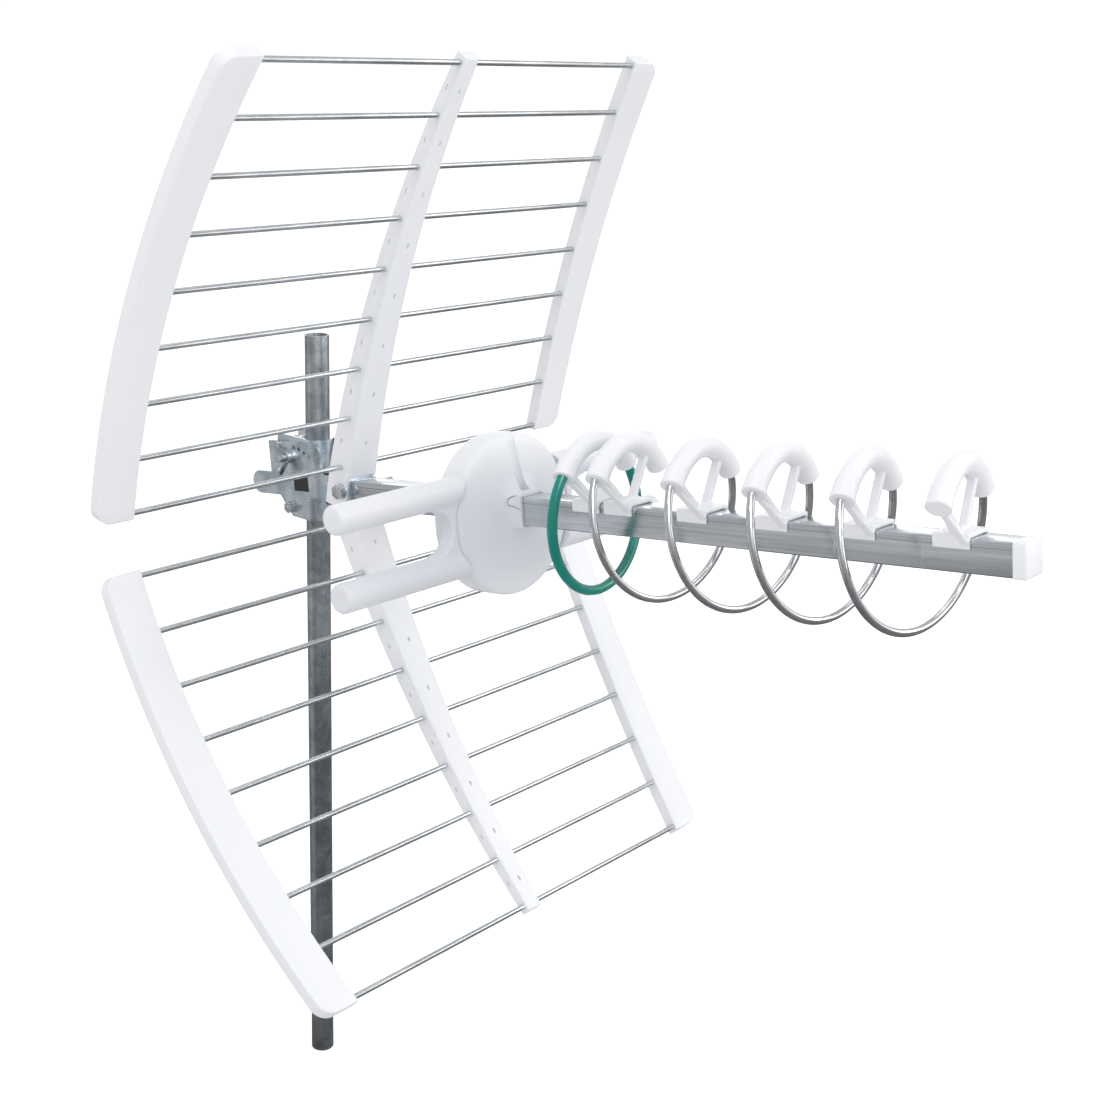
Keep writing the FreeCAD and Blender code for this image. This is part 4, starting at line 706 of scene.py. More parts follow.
def spine_channel():
    low, high = -(ROOT_HEIGHT + CHEEK_DROP), LAST + SPINE_OVERRUN
    channel_start = BOOM_HALF + ROOT_BLOCK - ROOT_HEIGHT
    bm = bmesh.new()
    block(bm, (-1, -1, low), (1, 1, high))
    for height in (channel_start, 0.0):
        cut_across(bm, height)
    for vert in bm.verts:
        s = vert.co.z
        vert.co.x *= between(WIDTHS, s) / 2
        vert.co.y *= between(FRONTS, s) if vert.co.y < 0 else between(BACKS, s)
    bm.normal_update()
    rim = [e for e in sharp_edges(bm) if all(v.co.y < 0 for v in e.verts) and e.verts[0].co.z > low + 1]
    soften(bm, rim, SPINE_EDGE, 3)
    bm.normal_update()
    back = [f for f in bm.faces if f.normal.y > 0.9 and f.calc_center_median().z > channel_start]
    push_in(bm, back, SPINE_WALL, lambda s: SPINE_WALL - between(FRONTS, s))
    return bm, low, high


print("spine: root", WIDTHS[0], "mm wide, tip", WIDTHS[1], "mm")

# %% Drain holes and bosses
HOLE_RADIUS, HOLE_STRETCH = 1.15, 1.9
BOSS_RADIUS, BOSS_STAND, BOSS_TAPER = 3.3, 1.1, 0.4


def oval_holes():
    """Cutters for the drain holes in the face and the two sides."""
    tool = bmesh.new()
    stretch = Matrix.Diagonal((1, 1, HOLE_STRETCH, 1))
    for number in range(1, RODS):
        s = (number - 0.5) * ROD_STEP
        front, half = between(FRONTS, s), between(WIDTHS, s) / 2
        through_face = ((0, -2 * front, 0), (0, 0, 0))
        through_sides = ((-2 * half, front / 2, 0), (2 * half, front / 2, 0))
        for start, end in (through_face, through_sides):
            verts = bar(tool, start, end, HOLE_RADIUS, segments=16)
            bmesh.ops.transform(tool, matrix=Matrix.Translation((0, 0, s)) @ stretch, verts=verts)
    return tool


def rod_bosses(bm):
    for number in range(RODS):
        s = number * ROD_STEP
        half = between(WIDTHS, s) / 2
        for side in (-1, 1):
            bar(bm, (side * (half - 1), 0, s), (side * (half + BOSS_STAND), 0, s), BOSS_RADIUS, segments=20,
                tip=BOSS_RADIUS - BOSS_TAPER)


print(RODS - 1, "drain holes and", RODS, "pairs of bosses on each spine")

# %% Spine root and settling
SLEEVE_LENGTH, SLEEVE_WALL, SLEEVE_EDGE = 9.0, 2.2, 0.8
BRACKET_GAP, RAIL_TOP, CHEEK_START = 12.4, 13.1, 4.1
SPAN = 400.0


def spine(node, panel):
    bm, low, high = spine_channel()
    bm = carve(bm, oval_holes())
    slice_up(bm, low, high, SLICE)
    rod_bosses(bm)
    for vert in bm.verts:
        vert.co = on_curve(*vert.co)
    sleeve = bmesh.new()
    outside = BOOM_HALF + SLEEVE_WALL
    verts = block(sleeve, (-outside, -FRONTS[0] - SLEEVE_LENGTH, -CHEEK_DROP), (outside, 0, outside))
    soften(sleeve, edges_between(verts, lambda e: all(v.co.y < -1 for v in e.verts)), SLEEVE_EDGE)
    bm = carve(bm, sleeve, "UNION")
    bm = cut_box(bm, (-SPAN, -SPAN, -SPAN), (SPAN, SPAN, -CHEEK_DROP))
    bm = cut_box(bm, (-BOOM_HALF - FIT, -SPAN, -SPAN), (SPAN, SPAN, CHEEK_DROP + FIT))
    bm = cut_box(bm, (-BRACKET_GAP, -CHEEK_START, -RAIL_TOP), (BRACKET_GAP, SPAN, RAIL_TOP))
    return settle(bm, node, ON_PANEL[panel])


spine("upper_spine", "upper")
spine("lower_spine", "lower")
print("2 spines")

# %% [markdown]
# ## Boom and caps
# A square tube with slightly rounded edges: a box, its four long edges bevelled, its ends
# opened and its wall given by solidify, which keeps the wall even round the corners. The white
# front cap stands a little proud of the tube and has softer edges, and its plug is a second
# block.

# %% Boom and caps
BOOM_WALL, BOOM_REACH, BOOM_TAIL = 1.5, 537.0, 25.0
CAP_LENGTH, CAP_LIP, CAP_PLUG, REAR_CAP = 8.0, 0.6, 12.0, 2.5
BOOM_EDGE, CAP_EDGE = 0.9, 1.6


def boom_tube():
    bm = bmesh.new()
    verts = block(bm, (-BOOM_HALF, -BOOM_REACH, -BOOM_HALF), (BOOM_HALF, BOOM_TAIL, BOOM_HALF))
    soften(bm, edges_between(verts, lambda e: edge_run(e, 1) > 1), BOOM_EDGE)
    bmesh.ops.delete(bm, geom=[f for f in bm.faces if abs(f.normal.y) > 0.9], context="FACES_ONLY")
    bmesh.ops.solidify(bm, geom=bm.faces[:], thickness=BOOM_WALL)
    return settle(bm, "boom_tube")


def boom_cap(node, face, out, length, lip):
    bm = bmesh.new()
    half = BOOM_HALF + lip
    end = face + out * length
    verts = block(bm, (-half, min(face, end), -half), (half, max(face, end), half))
    seat = edges_between(verts, lambda e: all(abs(v.co.y - face) < 0.1 for v in e.verts))
    soften(bm, [e for e in bm.edges if e not in seat], min(CAP_EDGE, length / 3))
    plug = BOOM_HALF - BOOM_WALL - FIT
    inside = face - out * CAP_PLUG
    block(bm, (-plug, min(face, inside), -plug), (plug, max(face, inside), plug))
    return settle(bm, node)


boom_tube()
boom_cap("boom_front_cap", -BOOM_REACH, -1, CAP_LENGTH, CAP_LIP)
boom_cap("boom_rear_cap", BOOM_TAIL, 1, REAR_CAP, 0.0)
print("boom and caps")

# %% [markdown]
# ## Director loops
# Each director is one straight rod bent to an open screw turn, so that its two ends can sit in
# neighbouring clips. A curve with a bevel depth would do, but spin with a step along the axis
# makes exactly such a turn: a circle of points is swept round while it moves forward, and both
# ends run on straight into the clips. First come the clips' places along the boom.

# %% Director stations
CLIPS = 6
CLIP_SETBACK, CLIP_PITCH, FIRST_GAP = 36.3, 59.5, 27.0
TURN_RADIUS, TURN_HEIGHT = 52.5, 2.5
TURN_LEFT, TURN_RIGHT = math.radians(36.0), math.radians(27.5)
TURN_SWEEP = math.pi + TURN_LEFT + TURN_RIGHT
ARCH_RADIUS, ARCH_SINK, ARCH_TUBE = 60.0, 10.0, 7.0
ARCH_LEFT, ARCH_RIGHT = math.radians(45.0), math.radians(38.0)
ARCH_SPAN = ARCH_RADIUS * (math.cos(ARCH_LEFT) + math.cos(ARCH_RIGHT))
SLANT = math.atan2(CLIP_PITCH * (2 * math.pi - TURN_SWEEP) / (2 * math.pi), ARCH_SPAN)


def station(number):
    """Y of a clip's middle; clip 1 is the rearmost."""
    front = -BOOM_REACH + CLIP_SETBACK
    if number == 1:
        return front + (CLIPS - 2) * CLIP_PITCH + FIRST_GAP
    return front + (CLIPS - number) * CLIP_PITCH


def arch_end(left):
    """How far an arch's end lies behind its clip's middle."""
    angle, side = (ARCH_LEFT, -1) if left else (ARCH_RIGHT, 1)
    return side * ARCH_RADIUS * math.cos(angle) * math.sin(SLANT)


print("clips at", [round(station(number), 1) for number in range(1, CLIPS + 1)])

# %% Director loops
LOOP_STEPS = 72
LOOP_GRIP = 9.0


def director_loop(node, number, radius):
    start = station(number) + arch_end(True)
    end = station(1 if number == 1 else number + 1) + arch_end(False)
    rise = (end - start) / TURN_SWEEP
    middle = Vector((0, start, TURN_HEIGHT))
    first = middle + TURN_RADIUS * Vector((-math.cos(TURN_LEFT), 0, math.sin(TURN_LEFT)))
    along = Vector((-TURN_RADIUS * math.sin(TURN_LEFT), rise, -TURN_RADIUS * math.cos(TURN_LEFT)))
    along.normalize()
    bm = bmesh.new()
    ring = bmesh.ops.create_circle(bm, segments=20, radius=radius, cap_ends=False,
                                   matrix=Matrix.Translation(first) @ pointing(along))
    begin = bm.edges[:]
    step = Vector((0, (end - start) / LOOP_STEPS, 0))
    swept = bmesh.ops.spin(bm, geom=ring["verts"] + begin, cent=middle, axis=(0, -1, 0), angle=TURN_SWEEP,
                           dvec=step, steps=LOOP_STEPS, use_merge=False, use_duplicate=False)["geom_last"]
    finish_edges = [part for part in swept if isinstance(part, bmesh.types.BMEdge)]
    turn = Matrix.Rotation(TURN_SWEEP, 3, (0, -1, 0))
    for edges, push in ((begin, along * -LOOP_GRIP), (finish_edges, turn @ along * LOOP_GRIP)):
        grown = bmesh.ops.extrude_edge_only(bm, edges=edges)["geom"]
        tips = [part for part in grown if isinstance(part, bmesh.types.BMVert)]
        bmesh.ops.translate(bm, verts=tips, vec=push)
    bmesh.ops.holes_fill(bm, edges=[e for e in bm.edges if e.is_boundary], sides=0)
    return settle(bm, node)


director_loop("sleeved_director", 1, 3.5)
for number in range(2, CLIPS):
    director_loop(f"director_rod_{number}", number, 2.5)
print(CLIPS - 1, "director loops")

# %% [markdown]
# ## Director clips
# A clip is one moulding: a thick round arch with a cuff at each end, two legs that meet on the
# boom, a saddle over the boom and a thin strut to the left cuff. The arch is a spun circle and
# the rest are beams and blocks. Boolean unions would leave hard creases between them. Fused
# together they get the soft fillets of the real moulding.

# %% Clip's arch
CUFF_LENGTH, CUFF_RADIUS, CUFF_SINK = 15.0, 7.6, 0.3


def arch_point(angle, radius=ARCH_RADIUS):
    """A point of the arch, at an angle from its left side over the top."""
    return Vector((-radius * math.cos(angle), 0, radius * math.sin(angle) - ARCH_SINK))


def clip_arch(bm):
    """Round arch, turned about the axis below the boom."""
    along = Vector((math.sin(ARCH_LEFT), 0, math.cos(ARCH_LEFT)))
    place = Matrix.Translation(arch_point(ARCH_LEFT)) @ pointing(along)
    ring = bmesh.ops.create_circle(bm, segments=32, radius=ARCH_TUBE, matrix=place)["verts"]
    bmesh.ops.spin(bm, geom=ring + edges_between(ring), cent=(0, 0, -ARCH_SINK), axis=(0, 1, 0),
                   angle=math.pi - ARCH_LEFT - ARCH_RIGHT, steps=28, use_merge=False)
    bmesh.ops.holes_fill(bm, edges=[e for e in bm.edges if e.is_boundary], sides=0)
    for angle, way in ((ARCH_LEFT, 1), (math.pi - ARCH_RIGHT, -1)):
        tangent = Vector((math.sin(angle), 0, math.cos(angle))) * way
        tip = arch_point(angle)
        bar(bm, tip, tip + tangent * CUFF_LENGTH, CUFF_RADIUS, segments=32, tip=ARCH_TUBE - CUFF_SINK)


print("arch of", 2 * ARCH_TUBE, "mm tube, turned by", round(math.degrees(SLANT), 1), "degrees")

# %% Clip's foot
FOOT_LENGTH, FOOT_PLATE, FOOT_WALL, FOOT_TAB, FOOT_STEP = 23.0, 2.6, 1.8, 6.0, 0.5


def clip_foot(bm):
    """Saddle over the boom with its two side tabs."""
    inside, outside = BOOM_HALF + FIT, BOOM_HALF + FIT + FOOT_WALL
    top, low = BOOM_HALF + FIT + FOOT_PLATE, BOOM_HALF - FOOT_TAB
    half = FOOT_LENGTH / 2
    block(bm, (-outside, -half, inside), (outside, half, top))
    for side in (-1, 1):
        near, far = sorted((side * inside, side * outside))
        block(bm, (near, -half, low), (far, half, top - FOOT_STEP))


# %% Clip with its legs
LEG_WIDTH, CLIP_WEB, LEG_SINK = 4.6, 5.4, 1.0
LEG_TOPS, LEG_FEET = (-38.0, 31.0), (-7.0, 5.5)
RIB_REACH, RIB_HALF, RIB_TOP, RIB_SINK = 8.5, 2.6, 4.6, 1.6
STRUT_THICK, STRUT_WIDTH, STRUT_REACH = 2.2, 5.0, 40.7
CLIP_VOXEL, CLIP_ROUNDS = 0.62, 5


def director_clip(number):
    bm = bmesh.new()
    clip_arch(bm)
    for reach, foot in zip(LEG_TOPS, LEG_FEET):
        up = arch_point(math.acos(-reach / ARCH_RADIUS), ARCH_RADIUS)
        beam(bm, (foot, 0, BOOM_HALF + FOOT_PLATE - LEG_SINK), up, Y, CLIP_WEB, LEG_WIDTH)
    rib_low = BOOM_HALF + FOOT_PLATE - RIB_SINK
    block(bm, (-RIB_REACH, -RIB_HALF, rib_low), (RIB_REACH, RIB_HALF, BOOM_HALF + RIB_TOP))
    bmesh.ops.rotate(bm, verts=bm.verts, cent=(0, 0, 0), matrix=Matrix.Rotation(SLANT, 3, "Z"))
    clip_foot(bm)
    outside = BOOM_HALF + FIT + FOOT_WALL / 2
    seat = Vector((-outside, -FOOT_LENGTH / 2 + STRUT_WIDTH / 2, BOOM_HALF - FOOT_TAB / 2))
    tip = arch_point(math.acos(STRUT_REACH / ARCH_RADIUS), ARCH_RADIUS - ARCH_TUBE / 2)
    tip.rotate(Matrix.Rotation(SLANT, 3, "Z"))
    beam(bm, seat, tip, Y, STRUT_WIDTH, STRUT_THICK)
    bm = fuse(bm, CLIP_VOXEL, CLIP_ROUNDS)
    bmesh.ops.translate(bm, verts=bm.verts, vec=(0, station(number), 0))
    return settle(bm, f"director_clip_{number}", smooth=50.0, merge=False)


for number in range(1, CLIPS + 1):
    made = director_clip(number)
print(CLIPS, "clips of", len(made.data.polygons), "faces")

# %% [markdown]
# ## Dipole housing
# The rear half is one moulding with four arms, joined in pairs by a web that ends in a round
# gap. The arms are bars with rounded ends. What lies ahead of the joint with the cover is cut
# off first, so that the fused skin leaves the cover its room. The fuse gives the soft fillets
# where the arms leave the round body.

# %% Dipole sizes
DIPOLE_Y, DIPOLE_DROP = -155.0, 4.8
ARM_RADIUS, ARM_SPREAD, ARM_REACH, ARM_ROUND = 10.0, 50.6, 161.0, 2.5
GAP_TIP, WEB_THICK = 61.6, 12.0
DOME_RADIUS, DOME_JOINT, DOME_BACK = 57.0, -156.5, 18.5
DOME_RISE, DOME_SKIRT, DOME_EDGE = 10.5, 0.6, 2.0
HIGH = -DIPOLE_DROP + ARM_SPREAD / 2
LOW = -DIPOLE_DROP - ARM_SPREAD / 2


def round_profile(bm, points, steps=96):
    """Spin a closed outline of (radius, y) points about the dome's axis."""
    verts = [bm.verts.new((radius, y, -DIPOLE_DROP)) for radius, y in points]
    edges = [bm.edges.new((verts[i], verts[i - 1])) for i in range(len(verts))
             if points[i][0] > 0 or points[i - 1][0] > 0]
    bmesh.ops.spin(bm, geom=verts + edges, cent=(0, 0, -DIPOLE_DROP), axis=(0, 1, 0), angle=2 * math.pi,
                   steps=steps, use_merge=True)
    bmesh.ops.remove_doubles(bm, verts=bm.verts, dist=SAME_POINT)


def quarter(centre, radius, start, turn, steps=4):
    """Points of a quarter round, from an angle through a turn, both in degrees."""
    angles = [math.radians(start + turn * step / steps) for step in range(steps + 1)]
    return [(centre[0] + radius * math.cos(angle), centre[1] + radius * math.sin(angle)) for angle in angles]


# %% Housing with its arms
HOUSING_VOXEL, HOUSING_ROUNDS = 0.95, 6


def arms_and_web():
    bm = bmesh.new()
    for height in (HIGH, LOW):
        left, right = (-ARM_REACH, DIPOLE_Y, height), (ARM_REACH, DIPOLE_Y, height)
        verts = bar(bm, left, right, ARM_RADIUS, segments=48)
        ends = edges_between(verts, lambda e: edge_run(e, 0) < SAME_POINT)
        soften(bm, ends, ARM_ROUND, 4)
    gap = ARM_SPREAD / 2 - ARM_RADIUS
    reach = GAP_TIP + gap
    web = bmesh.new()
    block(web, (-reach, DIPOLE_Y - WEB_THICK / 2, LOW), (reach, DIPOLE_Y + WEB_THICK / 2, HIGH))
    tool = bmesh.new()
    through = Vector((0, WEB_THICK, 0))
    for x in (-reach, reach):
        tip = Vector((x, DIPOLE_Y, -DIPOLE_DROP))
        bar(tool, tip - through, tip + through, gap, segments=40)
    web = carve(web, tool)
    tool = bmesh.new()
    bar(tool, (0, DOME_JOINT - DOME_RADIUS, -DIPOLE_DROP), (0, DOME_JOINT, -DIPOLE_DROP), DOME_RADIUS + FIT,
        segments=96)
    return carve(carve(bm, web, "UNION"), tool)


def dipole_housing():
    bm = arms_and_web()
    floor = DOME_JOINT + DOME_BACK
    edge = quarter((DOME_RADIUS - DOME_EDGE, floor - DOME_EDGE), DOME_EDGE, 0, 90)
    round_profile(bm, [(0, DOME_JOINT), (DOME_RADIUS, DOME_JOINT)] + edge + [(0, floor)], 72)
    bm = fuse(bm, HOUSING_VOXEL, HOUSING_ROUNDS)
    return settle(bm, "dipole_housing", smooth=50.0, merge=False)


print("housing of", len(dipole_housing().data.polygons), "faces")

# %% [markdown]
# ## Dipole cover
# The cover is a shallow dome whose face rolls over into its rim. A squashed ball would have a
# sharp rim, so its outline is a ball face and a soft curve down to the joint, spun round once.

# %% Cover's outline
FACE_EDGE = DOME_JOINT - DOME_SKIRT - DOME_EDGE
FLAT = DOME_RADIUS - DOME_EDGE
BALL = (FLAT ** 2 + DOME_RISE ** 2) / (2 * DOME_RISE)
ROLL_START, ROLL_RUN, ROLL_SIDE, ROLL_END = 38.0, 11.5, 5.5, 0.4
SHELL = 5.0
OUTSIDE_RADII, INSIDE_RADII = (0, 8, 16, 24, 31), (44, 30, 15, 0)


def face_y(radius):
    """Y of the cover's ball face at a radius from its middle."""
    return FACE_EDGE - (DOME_RISE - BALL + math.sqrt(BALL ** 2 - radius ** 2))


def rolled_rim(steps=9):
    """Smooth curve from the ball face to the rim's joint."""
    slope = ROLL_START / math.sqrt(BALL ** 2 - ROLL_START ** 2)
    edge_y = face_y(ROLL_START)
    points = [(ROLL_START, edge_y), (ROLL_START + ROLL_RUN, edge_y + slope * ROLL_RUN),
              (DOME_RADIUS, DOME_JOINT - ROLL_SIDE), (DOME_RADIUS, DOME_JOINT - ROLL_END)]
    curve = []
    for step in range(steps + 1):
        t = step / steps
        weights = ((1 - t) ** 3, 3 * t * (1 - t) ** 2, 3 * t ** 2 * (1 - t), t ** 3)
        curve.append(tuple(sum(w * p[axis] for w, p in zip(weights, points)) for axis in (0, 1)))
    return curve


def cover_shell():
    outer = [(radius, face_y(radius)) for radius in OUTSIDE_RADII] + rolled_rim()
    inner = [(DOME_RADIUS, DOME_JOINT), (DOME_RADIUS - SHELL, DOME_JOINT)]
    inner += [(radius, face_y(radius) + SHELL) for radius in INSIDE_RADII]
    bm = bmesh.new()
    round_profile(bm, outer + inner)
    return bm


print("cover face", round(face_y(0), 1), "rim", DOME_RADIUS, "mm")

# %% [markdown]
# ### The groove in the cover
# A shallow groove runs from the collar up over the rim, steeper on one side. A displaced
# surface would need a very fine mesh there. So a straight strip is sliced across at each point
# of its route, each slice is moved to the face, and the strip is cut out of the cover.

# %% Groove
COLLAR_LENGTH, COLLAR_WALL = 8.5, 2.0
COLLAR_FRONT = FACE_EDGE - DOME_RISE - COLLAR_LENGTH
COLLAR_HALF = BOOM_HALF + FIT + COLLAR_WALL
GROOVE_LEFT, GROOVE_RIGHT, GROOVE_OPEN = -3.4, 3.6, 1.6
GROOVE_DEPTH, GROOVE_TILT, GROOVE_ABOVE = 2.6, 0.8, 4.0
RIM_START, RIM_SHARE = 50.0, 0.55


def groove_route():
    """Points of (radius, y) from the collar over the face and the rim."""
    face = [(radius, face_y(radius)) for radius in (COLLAR_HALF, 24, 31)]
    return face + rolled_rim(6) + [(DOME_RADIUS + 1, DOME_JOINT - 3)]


def groove_strip():
    route = groove_route()
    tool = bmesh.new()
    block(tool, (0, 0, 0), (1, 1, len(route) - 1))
    slice_up(tool, 0, len(route) - 1, 1)
    for vert in tool.verts:
        radius, y = route[round(vert.co.z)]
        right, deep = vert.co.x > 0.5, vert.co.y > 0.5
        depth = GROOVE_DEPTH * (1.0 if radius < RIM_START else RIM_SHARE) - GROOVE_TILT * right
        x = (GROOVE_RIGHT if right else GROOVE_LEFT) + GROOVE_OPEN * (right and not deep)
        vert.co = (x, y + depth if deep else y - GROOVE_ABOVE, radius - DIPOLE_DROP)
    return tool


print("groove over", len(groove_route()), "points")

# %% [markdown]
# ### The cover's collar
# The collar starts square round the boom and flares into a round foot on the dome. A bevel
# between a box and a dome would crease at the box's corners. So it is a loft: each ring is a
# rounded square whose power falls from almost square to a circle, lifted less and less off the
# dome's face, so that the foot melts into it.

# %% Collar
COLLAR_RINGS = [
    # lift off the face, flare beyond the collar, power of the rounded square
    (COLLAR_LENGTH, 0.0, 14), (6.2, 0.1, 14), (4.4, 0.5, 10), (3.0, 1.4, 7), (2.0, 2.7, 5),
    (1.25, 4.4, 3.8), (0.65, 6.8, 3.0), (0.2, 10.0, 2.4), (-0.6, 13.4, 2.0)]


def flared_collar():
    bm = bmesh.new()
    flat = Matrix.Translation((0, COLLAR_FRONT, 0)) @ Matrix.Rotation(math.pi / 2, 4, "X")
    bmesh.ops.create_circle(bm, segments=64, radius=COLLAR_HALF, matrix=flat)
    verts, edges = bm.verts[:], bm.edges[:]
    for lift, flare, power in COLLAR_RINGS:
        if flare > 0:
            grown = bmesh.ops.extrude_edge_only(bm, edges=edges)["geom"]
            verts = [part for part in grown if isinstance(part, bmesh.types.BMVert)]
            edges = [part for part in grown if isinstance(part, bmesh.types.BMEdge)]
        for vert in verts:
            angle = math.atan2(vert.co.z, vert.co.x)
            across, up = abs(math.cos(angle)), abs(math.sin(angle))
            reach = (COLLAR_HALF + flare) / (across ** power + up ** power) ** (1 / power)
            x, z = reach * math.cos(angle), reach * math.sin(angle)
            y = face_y(math.hypot(x, z + DIPOLE_DROP)) - lift if flare > 0 else COLLAR_FRONT
            vert.co = (x, y, z)
    bmesh.ops.holes_fill(bm, edges=[e for e in bm.edges if e.is_boundary], sides=0)
    return bm


print("collar of", len(COLLAR_RINGS), "rings")

# %% [markdown]
# ### The locking tab
# The tab is a tongue in the collar's left flank. A line drawn on the surface would look flat, so
# a narrow slot sets it off: thin beams follow its outline and are cut out.

# %% Locking tab and the finished cover
TAB_TOP, TAB_LOW, TAB_END, TAB_SLOT = (13.2, 10.0), (0.8, 4.2), 8.6, 0.8
TAB_ROUND, TAB_NOSE = 1.2, 1.6
CUT_MIDDLE, CUT_REACH, CUT_AHEAD = 8.0, 8.8, 0.5


def tab_slot():
    """Thin beams through the left flank, round the tongue."""
    tool = bmesh.new()
    x = -COLLAR_HALF - CUT_MIDDLE
    front, back = COLLAR_FRONT - CUT_AHEAD, COLLAR_FRONT + TAB_END
    middle = (TAB_TOP[1] + TAB_LOW[1]) / 2
    route = [(front, TAB_TOP[0]), (back - TAB_ROUND, TAB_TOP[1]), (back, middle + TAB_NOSE),
             (back, middle - TAB_NOSE), (back - TAB_ROUND, TAB_LOW[1]), (front, TAB_LOW[0])]
    for (y0, z0), (y1, z1) in zip(route, route[1:]):
        one = bmesh.new()
        beam(one, (x, y0, z0), (x, y1, z1), X, 2 * CUT_REACH, TAB_SLOT)
        tool = one if not tool.verts else carve(tool, one, "UNION")
    return tool


def dipole_cover():
    bm = carve(cover_shell(), flared_collar(), "UNION")
    bm = carve(bm, groove_strip())
    bm = carve(bm, tab_slot())
    half = BOOM_HALF + FIT
    bm = cut_box(bm, (-half, -SPAN, -half), (half, 0, half))
    return settle(bm, "dipole_front_cover", smooth=34.0)


print("cover of", len(dipole_cover().data.polygons), "faces")

# %% [markdown]
# ## Brackets and fasteners
# The folded brackets, the jaw and the fasteners already have their true shape in the frame, so
# drawing them again would add nothing. A copy of each is merged, its flat faces are dissolved
# into one another, and its sheared edges are broken by a fine bevel, which is what catches the
# light.

# %% Copies with broken edges
FLAT_ANGLE = math.radians(1.0)


def broken_edges(node, offset, segments=2, smooth=SMOOTH_BELOW):
    bm = bmesh.new()
    bm.from_mesh(frame["nodes"][node].data)
    bmesh.ops.transform(bm, matrix=Matrix.Scale(1 / MM, 4), verts=bm.verts)
    bmesh.ops.remove_doubles(bm, verts=bm.verts, dist=SAME_POINT)
    bmesh.ops.dissolve_limit(bm, angle_limit=FLAT_ANGLE, verts=bm.verts, edges=bm.edges)
    soften(bm, sharp_edges(bm, 40.0), offset, segments)
    return settle(bm, node, ON_MAST, smooth)


for node, offset in {"boom_bracket": 0.35, "mast_bracket": 0.35, "mast_jaw": 0.25, "wing_nut": 0.5,
                     "tilt_bolt": 0.4, "clamp_bolt": 0.35, "clamp_nut": 0.35, "reflector_bolt": 0.4,
                     "reflector_nut": 0.4, "tilt_pads": 0.3, "antenna_socket": 0.2, "socket_nut": 0.3,
                     "cover_screws": 0.3, "dipole_element_left": 0.15, "dipole_element_right": 0.15,
                     "balun_board": 0.1}.items():
    broken_edges(node, offset)
print("brackets and fasteners")

# %% [markdown]
# ## Mast
# The mast is plain tube, cut square. In the frame its round shows facets, so it is drawn anew
# as a smooth tube: the ends of a bar are inset by the wall and bridged through.

# %% Mast
MAST_RADIUS, MAST_WALL, MAST_LENGTH, MAST_EDGE = 9.3, 1.5, 620.0, 0.3


def mast_tube():
    bm = bmesh.new()
    bar(bm, (0, 0, 0), (0, 0, MAST_LENGTH), MAST_RADIUS, segments=72)
    ends = [f for f in bm.faces if abs(f.normal.z) > 0.9]
    bmesh.ops.inset_region(bm, faces=ends, thickness=MAST_WALL)
    inner = [f for f in bm.faces if abs(f.normal.z) > 0.9 and len(f.verts) > 4]
    rims = [list(f.edges) for f in inner]
    bmesh.ops.delete(bm, geom=inner, context="FACES_ONLY")
    bmesh.ops.bridge_loops(bm, edges=rims[0] + rims[1])
    soften(bm, sharp_edges(bm, 60.0), MAST_EDGE, 2)
    return settle(bm, "mast_tube", ON_MAST)


mast_tube()
print("mast of", MAST_LENGTH, "mm")

# %% [markdown]
# ## Floor
# The photo is a high-key picture, white all over. A white floor would throw so much light back
# that the object loses its shading. So the paper looks white to the camera alone, by a little
# emission on camera rays, and bounces less.

# %% Floor
FLOOR_SIZE = 12.0
FLOOR_GLOW = 0.55


def floor_material():
    """Pale paper that looks white to the camera and gives the object a softer bounce."""
    material = bpy.data.materials.new("studio_floor")
    material.use_nodes = True
    tree = material.node_tree
    shader = tree.nodes["Principled BSDF"]
    place = tree.nodes.new("ShaderNodeTexCoord")
    colour = place_group(tree, DRIFT, place.outputs["Object"], Scale=0.8, First=(0.76, 0.76, 0.77, 1),
                         Second=(0.78, 0.78, 0.78, 1))
    path = tree.nodes.new("ShaderNodeLightPath")
    wire(tree, colour.outputs["Color"], shader.inputs["Base Color"])
    glow = math_node(tree, "MULTIPLY", path.outputs["Is Camera Ray"], FLOOR_GLOW)
    wire(tree, glow, shader.inputs["Emission Strength"])
    shader.inputs["Emission Color"].default_value = (1, 1, 1, 1)
    shader.inputs["Roughness"].default_value = 0.9
    shader.inputs["Specular IOR Level"].default_value = 0.0
    return material


def studio_floor():
    bm = bmesh.new()
    bmesh.ops.create_grid(bm, x_segments=1, y_segments=1, size=FLOOR_SIZE)
    floor = as_object(bm, "studio_floor")
    floor.data.materials.append(floor_material())
    floor.visible_glossy = False
    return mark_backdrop(floor)


studio_floor()
print("floor", 2 * FLOOR_SIZE, "m across")

# %% [markdown]
# ## The room
# Plastic needs an even, bright room, but metal in such a room looks like plaster. Photographers
# solve it with cards and windows that only the shiny parts mirror. Here the world does both: an
# even white for plain rays, and for mirrored rays a dim room with soft round windows in the
# directions that the rods, the boom and the brackets mirror. A noise stretched upwards stands
# for the streaks in brushed metal. The directions are fixed in space, so the room stays put
# when the camera moves.

# %% Windows of the room
WINDOWS = [
    # toward, where the soft edge starts and ends as a cosine, strength
    ((0.72, -0.60, 0.36), 0.91, 0.98, 0.7),
    ((0.72, -0.58, 0.40), 0.975, 0.992, 2.4),
    ((-0.50, -0.70, 0.52), 0.88, 0.97, 0.7),
    ((-0.45, -0.66, 0.60), 0.975, 0.992, 5.0),
    ((-0.75, 0.62, -0.20), 0.80, 0.98, 0.24),
    ((0.74, 0.66, 0.10), 0.90, 0.98, 1.1),
    ((0.05, 0.10, 0.99), 0.90, 0.98, 0.9)]


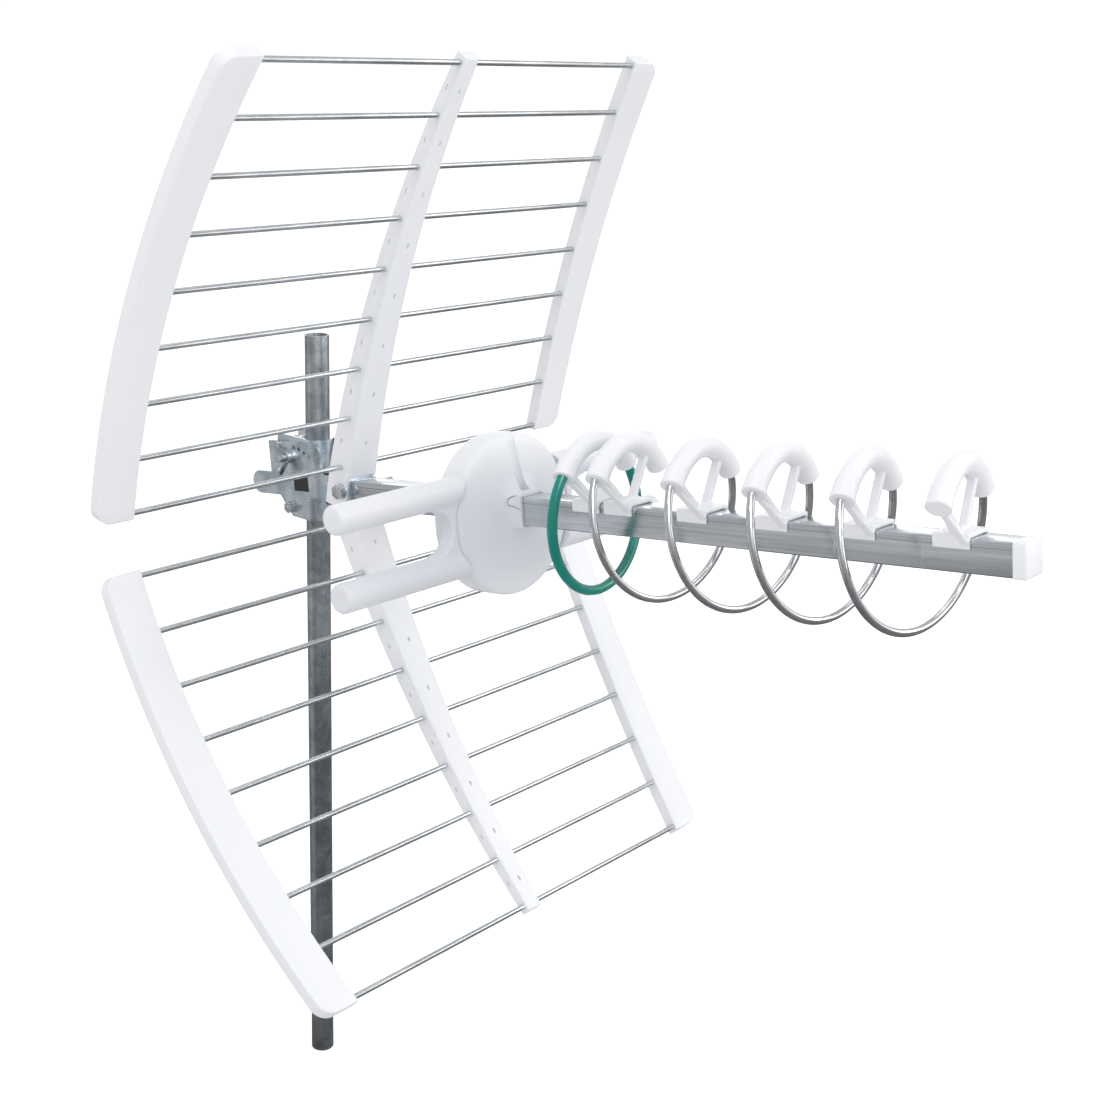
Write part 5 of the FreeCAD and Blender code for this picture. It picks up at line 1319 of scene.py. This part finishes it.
def window(tree, direction, toward, low, high, strength):
    near = vector_node(tree, "DOT_PRODUCT", direction, Vector(toward).normalized(), "Value")
    return soft_step(tree, near, low, high, 0.0, strength)


print(len(WINDOWS), "windows")

# %% World
def mirrored_room(tree, direction, height):
    """Strength of the room as shiny parts mirror it."""
    strength = soft_step(tree, height, -0.75, 0.7, 0.16, 0.52)
    for toward, low, high, power in WINDOWS:
        strength = math_node(tree, "ADD", strength, window(tree, direction, toward, low, high, power))
    streaks = tree.nodes.new("ShaderNodeTexNoise")
    streaks.inputs["Scale"].default_value = 12.0
    streaks.inputs["Detail"].default_value = 3.0
    wire(tree, vector_node(tree, "MULTIPLY", direction, (1.0, 1.0, 0.05)), streaks.inputs["Vector"])
    streaked = soft_step(tree, streaks.outputs["Fac"], 0.38, 0.66, 0.72, 1.55)
    return math_node(tree, "MULTIPLY", strength, streaked)


def studio_world():
    world = bpy.data.worlds.new("studio")
    bpy.context.scene.world = world
    world.use_nodes = True
    tree = world.node_tree
    background = tree.nodes["Background"]
    direction = tree.nodes.new("ShaderNodeTexCoord").outputs["Generated"]
    split = tree.nodes.new("ShaderNodeSeparateXYZ")
    wire(tree, direction, split.inputs[0])
    path = tree.nodes.new("ShaderNodeLightPath")
    strength = soft_step(tree, split.outputs["Z"], -0.3, 0.8, 1.0, 0.93)
    mirrored = mirrored_room(tree, direction, split.outputs["Z"])
    for flag, chosen in (("Is Glossy Ray", mirrored), ("Is Camera Ray", 1.05)):
        mix = tree.nodes.new("ShaderNodeMix")
        feed(tree, path.outputs[flag], mix.inputs["Factor"])
        feed(tree, strength, mix.inputs[2])
        feed(tree, chosen, mix.inputs[3])
        strength = mix.outputs[0]
    wire(tree, strength, background.inputs["Strength"])
    background.inputs["Color"].default_value = (1, 1, 1, 1)
    return world


studio_world()
print("world made")

# %% [markdown]
# ## Lights
# The world alone lights everything alike. A soft key from the upper left gives the forms their
# shading, a weak fill opens the shadows, and a small light ahead of the boom's nose whitens the
# clips and the cap, which are the brightest parts of the photo.

# %% Lights
def soft_light(name, place, aim, size, power):
    data = bpy.data.lights.new(name, "AREA")
    data.size = size
    data.energy = power
    light = bpy.data.objects.new(name, data)
    bpy.context.scene.collection.objects.link(light)
    light.location = place
    light.rotation_euler = (Vector(aim) - Vector(place)).to_track_quat("-Z", "Y").to_euler()
    return light


MIDDLE, NOSE = (0.0, -0.15, 0.5), (0.0, -0.45, 0.58)
soft_light("key", (-1.2, -0.9, 2.4), MIDDLE, 1.0, 7.0)
soft_light("fill", (1.8, -1.4, 1.2), MIDDLE, 1.6, 3.0)
soft_light("nose", (0.30, -1.20, 0.85), NOSE, 0.4, 1.2)
print("three soft lights")

# %% [markdown]
# ## Camera
# The camera stands where the photo was taken from, to the left of the nose and a little above
# it, with the long lens that keeps the reflector's far side large. Its place was worked out
# from the photo, in the units of the frame.

# %% Camera
CAMERA_PLACE = (-0.8224, -0.9435, 0.8395)
CAMERA_TURN = (72.783, -1.927, -48.836)
CAMERA_LENS = 54.0


def photo_camera():
    data = bpy.data.cameras.new("camera")
    data.lens = CAMERA_LENS
    data.sensor_width = 36.0
    data.clip_start = 0.01
    camera = bpy.data.objects.new("camera", data)
    bpy.context.scene.collection.objects.link(camera)
    camera.location = CAMERA_PLACE
    camera.rotation_euler = [math.radians(angle) for angle in CAMERA_TURN]
    bpy.context.scene.camera = camera
    return camera


photo_camera()
bpy.context.scene.view_settings.view_transform = "Standard"
print("camera at", CAMERA_PLACE)
